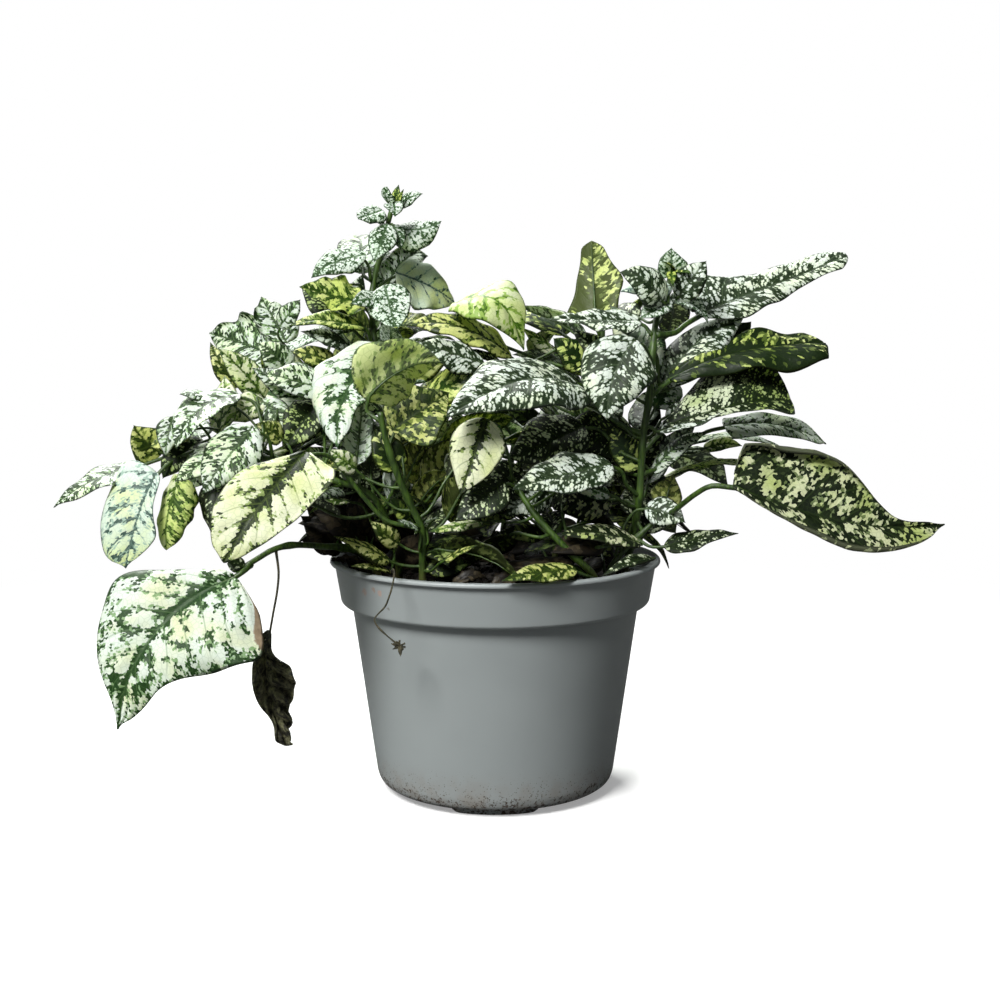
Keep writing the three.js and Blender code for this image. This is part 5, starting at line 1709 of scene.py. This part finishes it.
def soil_piece():
    """The root ball: the CAD section round the sides, and a lumpy top."""
    points, _ = welded("soil")
    radii = np.hypot(points[:, 0], points[:, 1])
    heights = np.round(points[:, 2], 2)
    bottom, *steps, top = np.unique(heights)
    rim = radii[heights == top].max()
    sides = [(radii[heights == bottom].max(), bottom)]
    for z in steps:
        at = radii[heights == z]
        sides += [(at.min(), z), (at.max(), z)]
    turns = around(SOIL_SIDES)
    rings = [(r, z, 0.0) for r, z in [*sides, (rim, top - 2.0)]]
    rings += [(rim * share, top, 1.0) for share in np.linspace(0.995, 0.02, SOIL_RINGS)]
    places = []
    for r, z, lumpy in rings:
        x, y = r * np.cos(turns), r * np.sin(turns)
        edge = smoothstep(0, 5, rim - r)
        lift = lumpy * (soil_height(x, y) * (0.3 + 0.7 * edge) - 1.2 * (1 - edge))
        places.append(np.stack([x, y, z + lift], axis=1))
    build = Build()
    build.add(np.concatenate(places), capped_faces(len(rings), SOIL_SIDES))
    build.piece("fine_soil", [peat], "soil", ["soil"])
    litter_pieces(rim, top)


def lump(rng, centre, size):
    """A small irregular lump: points and faces."""
    sides, rings = 7, 4
    turns = around(sides)
    rows = []
    for k in range(rings):
        lean = (k + 0.5) / rings * math.pi
        ring = np.stack([math.sin(lean) * np.cos(turns), math.sin(lean) * np.sin(turns),
                         np.full(sides, math.cos(lean))], axis=1)
        rows.append(ring * rng.uniform(0.65, 1.15, (sides, 1)))
    squash = rng.uniform(0.55, 1.1, 3)
    faces = [face[::-1] for face in capped_faces(rings, sides)]
    return np.concatenate(rows) * squash * size + centre, faces


CRUMB_COUNT = 420
GRIT_COUNT = 46
FIBRE_COUNT = 70

# Dead leaves on the soil: x and y of the stalk's end, length in mm and heading in degrees.
DEAD_LEAVES = [
    (-2, -40, 17, 30), (12, -34, 16, 115), (18, -40, 13, -30), (-14, -44, 12, 15), (-44, -22, 20, 140),
    (24, -14, 16, 60), (-12, 12, 15, 200), (-32, 30, 16, 100), (20, 38, 15, -20), (42, 6, 14, 80),
    (0, 0, 15, -60), (-40, 8, 13, 20),
]


def on_soil(x, y, top):
    """The point on the lumpy soil at this place."""
    return np.array([x, y, top + float(soil_height(x, y))])


def soil_spot(rng, reach, top):
    """A random place on the soil, up to reach from its middle."""
    turn, out = rng.uniform(0, 2 * math.pi), reach * math.sqrt(rng.uniform(0, 1))
    return on_soil(out * math.cos(turn), out * math.sin(turn), top)


def scattered(rng, count, sizes, lift, reach, top):
    """Lumps of random sizes all over the soil, each lifted by a share of its size."""
    build = Build()
    for _ in range(count):
        size = rng.uniform(*sizes)
        build.add(*lump(rng, soil_spot(rng, reach, top) + [0, 0, size * lift], size))
    return build


def root_fibres(rng, reach, top):
    """Thin wavy fibres that lie on the soil."""
    build = Build()
    for _ in range(FIBRE_COUNT):
        start = soil_spot(rng, reach, top)
        way = unit(rng.normal(size=3) * [1, 1, 0.12])
        line = np.array([
            start + way * rng.uniform(3, 8) * k / 3 + rng.normal(size=3) * 0.7 for k in range(4)
        ])
        line[:, 2] = np.maximum(line[:, 2], top + 0.4)
        points, faces, _ = tube(spline(line, 12), rng.uniform(0.12, 0.3), 5)
        build.add(points, faces)
    return build


def dead_leaves(top):
    """The crumpled leaves of DEAD_LEAVES."""
    build = Build()
    for number, (x, y, reach, heading) in enumerate(DEAD_LEAVES):
        base = on_soil(x, y, top) + [0, 0, 2.0]
        way = np.array([math.cos(math.radians(heading)), math.sin(math.radians(heading)), 0.18])
        blade = Blade.from_ends(base, base + way * reach, (0.3, -0.5, 0.8), reach * 0.5,
                                [base - way * 5, base - way * 2], arch=3.0, fold=14)
        add_leaf(build, blade, FLAT_CRUMPLED, DEAD_LEAF_SEED + number, 0, 0)
    return build


def litter_pieces(rim, top):
    """What lies on the soil: peat crumbs, pale grit, root fibres and dead leaves."""
    rng = np.random.default_rng(LITTER_SEED)
    scattered(rng, CRUMB_COUNT, (0.4, 1.9), 0.3, rim * 0.95, top).piece("peat_crumbs", [peat], "soil")
    scattered(rng, GRIT_COUNT, (0.3, 0.8), 0.5, rim * 0.95, top).piece("pale_grit", [pale_grit], "soil")
    root_fibres(rng, rim * 0.85, top).piece("root_fibres", [dry_thread], "soil")
    dead_leaves(top).piece("dead_leaves", [leaf_looks["withered"]], "dry_leaf")


# ---- Building the plant ----

cad_leaves()
for stem_name in stem_lines:
    stem_piece(stem_name)
for group_number, (group, group_leaves) in enumerate(SMALL_LEAVES.items()):
    leaf_group(group, group_leaves, GROUP_SEED + SEEDS_IN_GROUP * group_number)
fill_leaves()
dry_leaf_piece()
tendril_piece()
pot_piece()
soil_piece()


# ---- Camera, light and floor ----

CAMERA_PITCH = math.radians(6.86)
CAMERA_LENS = 51.8
SENSOR = 36.0
FLOOR_RADIUS = 6.0
FLOOR_SIDES = 64
SKY_LEFT, SKY_RIGHT = 0.4, 0.1

LIGHTS = {
    "key": dict(place=(-0.56, -1.05, 1.16), target=(0, 0, 0.12), size=0.6, power=42.0,
                colour=(1.0, 0.995, 0.98)),
    "back": dict(place=(-0.45, 0.95, 1.2), target=(0, 0, 0.14), size=0.7, power=40.0,
                 colour=(0.98, 1.0, 0.96)),
}


def make_camera():
    data = bpy.data.cameras.new("camera")
    data.lens, data.sensor_width = CAMERA_LENS, SENSOR
    data.clip_start, data.clip_end = 0.01, 50
    camera = add_object("camera", data)
    camera.location = CAMERA_PLACE
    camera.rotation_euler = (math.pi / 2 - CAMERA_PITCH, 0, 0)
    bpy.context.scene.camera = camera


def area_light(name, place, target, size, power, colour):
    data = bpy.data.lights.new(name, "AREA")
    data.shape, data.size, data.energy, data.color = "DISK", size, power, colour
    lamp = add_object(name, data)
    lamp.location = place
    lamp.rotation_euler = (Vector(target) - Vector(place)).to_track_quat("-Z", "Y").to_euler()


def make_world():
    """White to the camera. To everything else a dim sky, brighter on the side of the key light."""
    s = Shade("studio", "World")
    white = s.node("ShaderNodeBackground", {"Color": (1, 1, 1, 1)})
    rightwards, _, _ = s.split(s.node("ShaderNodeTexCoord").outputs["Generated"])
    strength = s.step(rightwards, -1.0, 1.0, SKY_LEFT, SKY_RIGHT, "LINEAR")
    sky = s.node("ShaderNodeBackground", {"Color": (0.92, 0.97, 1.0, 1), "Strength": strength})
    seen = s.node("ShaderNodeLightPath").outputs["Is Camera Ray"]
    bpy.context.scene.world = s.finish(s.mix_shaders(seen, sky.outputs[0], white.outputs[0]))


def floor_material():
    """Pale paper that fades to white.

    It gives back less light than it shows, so that the pot's shaded side stays dark.
    """
    s = Shade("floor_paper")
    seen = s.node("ShaderNodeLightPath").outputs["Is Camera Ray"]
    grain = s.noise(s.places(), 40.0, 2.0)
    shown = s.mix(grain, (0.93, 0.93, 0.93, 1), (0.95, 0.95, 0.95, 1))
    colour = s.mix(seen, (0.1, 0.1, 0.1, 1), shown)
    paper = s.node("ShaderNodeBsdfDiffuse", {"Color": colour})
    white = s.node("ShaderNodeEmission", {"Color": (1, 1, 1, 1)})
    x, y, _ = s.split(s.places())
    away = s.math("SQRT", s.add(s.mul(x, x), s.mul(y, y)))
    share = s.mul(s.step(away, 60.0, 520.0, 0.3, 1.0), seen)
    return s.finish(s.mix_shaders(share, paper.outputs[0], white.outputs[0]))


def make_floor():
    turns = around(FLOOR_SIDES)
    points = np.stack([np.cos(turns), np.sin(turns), 0 * turns], axis=1) * FLOOR_RADIUS
    mesh = bpy.data.meshes.new("floor")
    mesh.from_pydata(points.tolist(), [], [list(range(FLOOR_SIDES))])
    mesh.materials.append(floor_material())
    floor = add_object("floor", mesh)


make_camera()
make_world()
make_floor()
bpy.context.scene.view_settings.view_transform = "Standard"
for light_name, light in LIGHTS.items():
    area_light(light_name, **light)
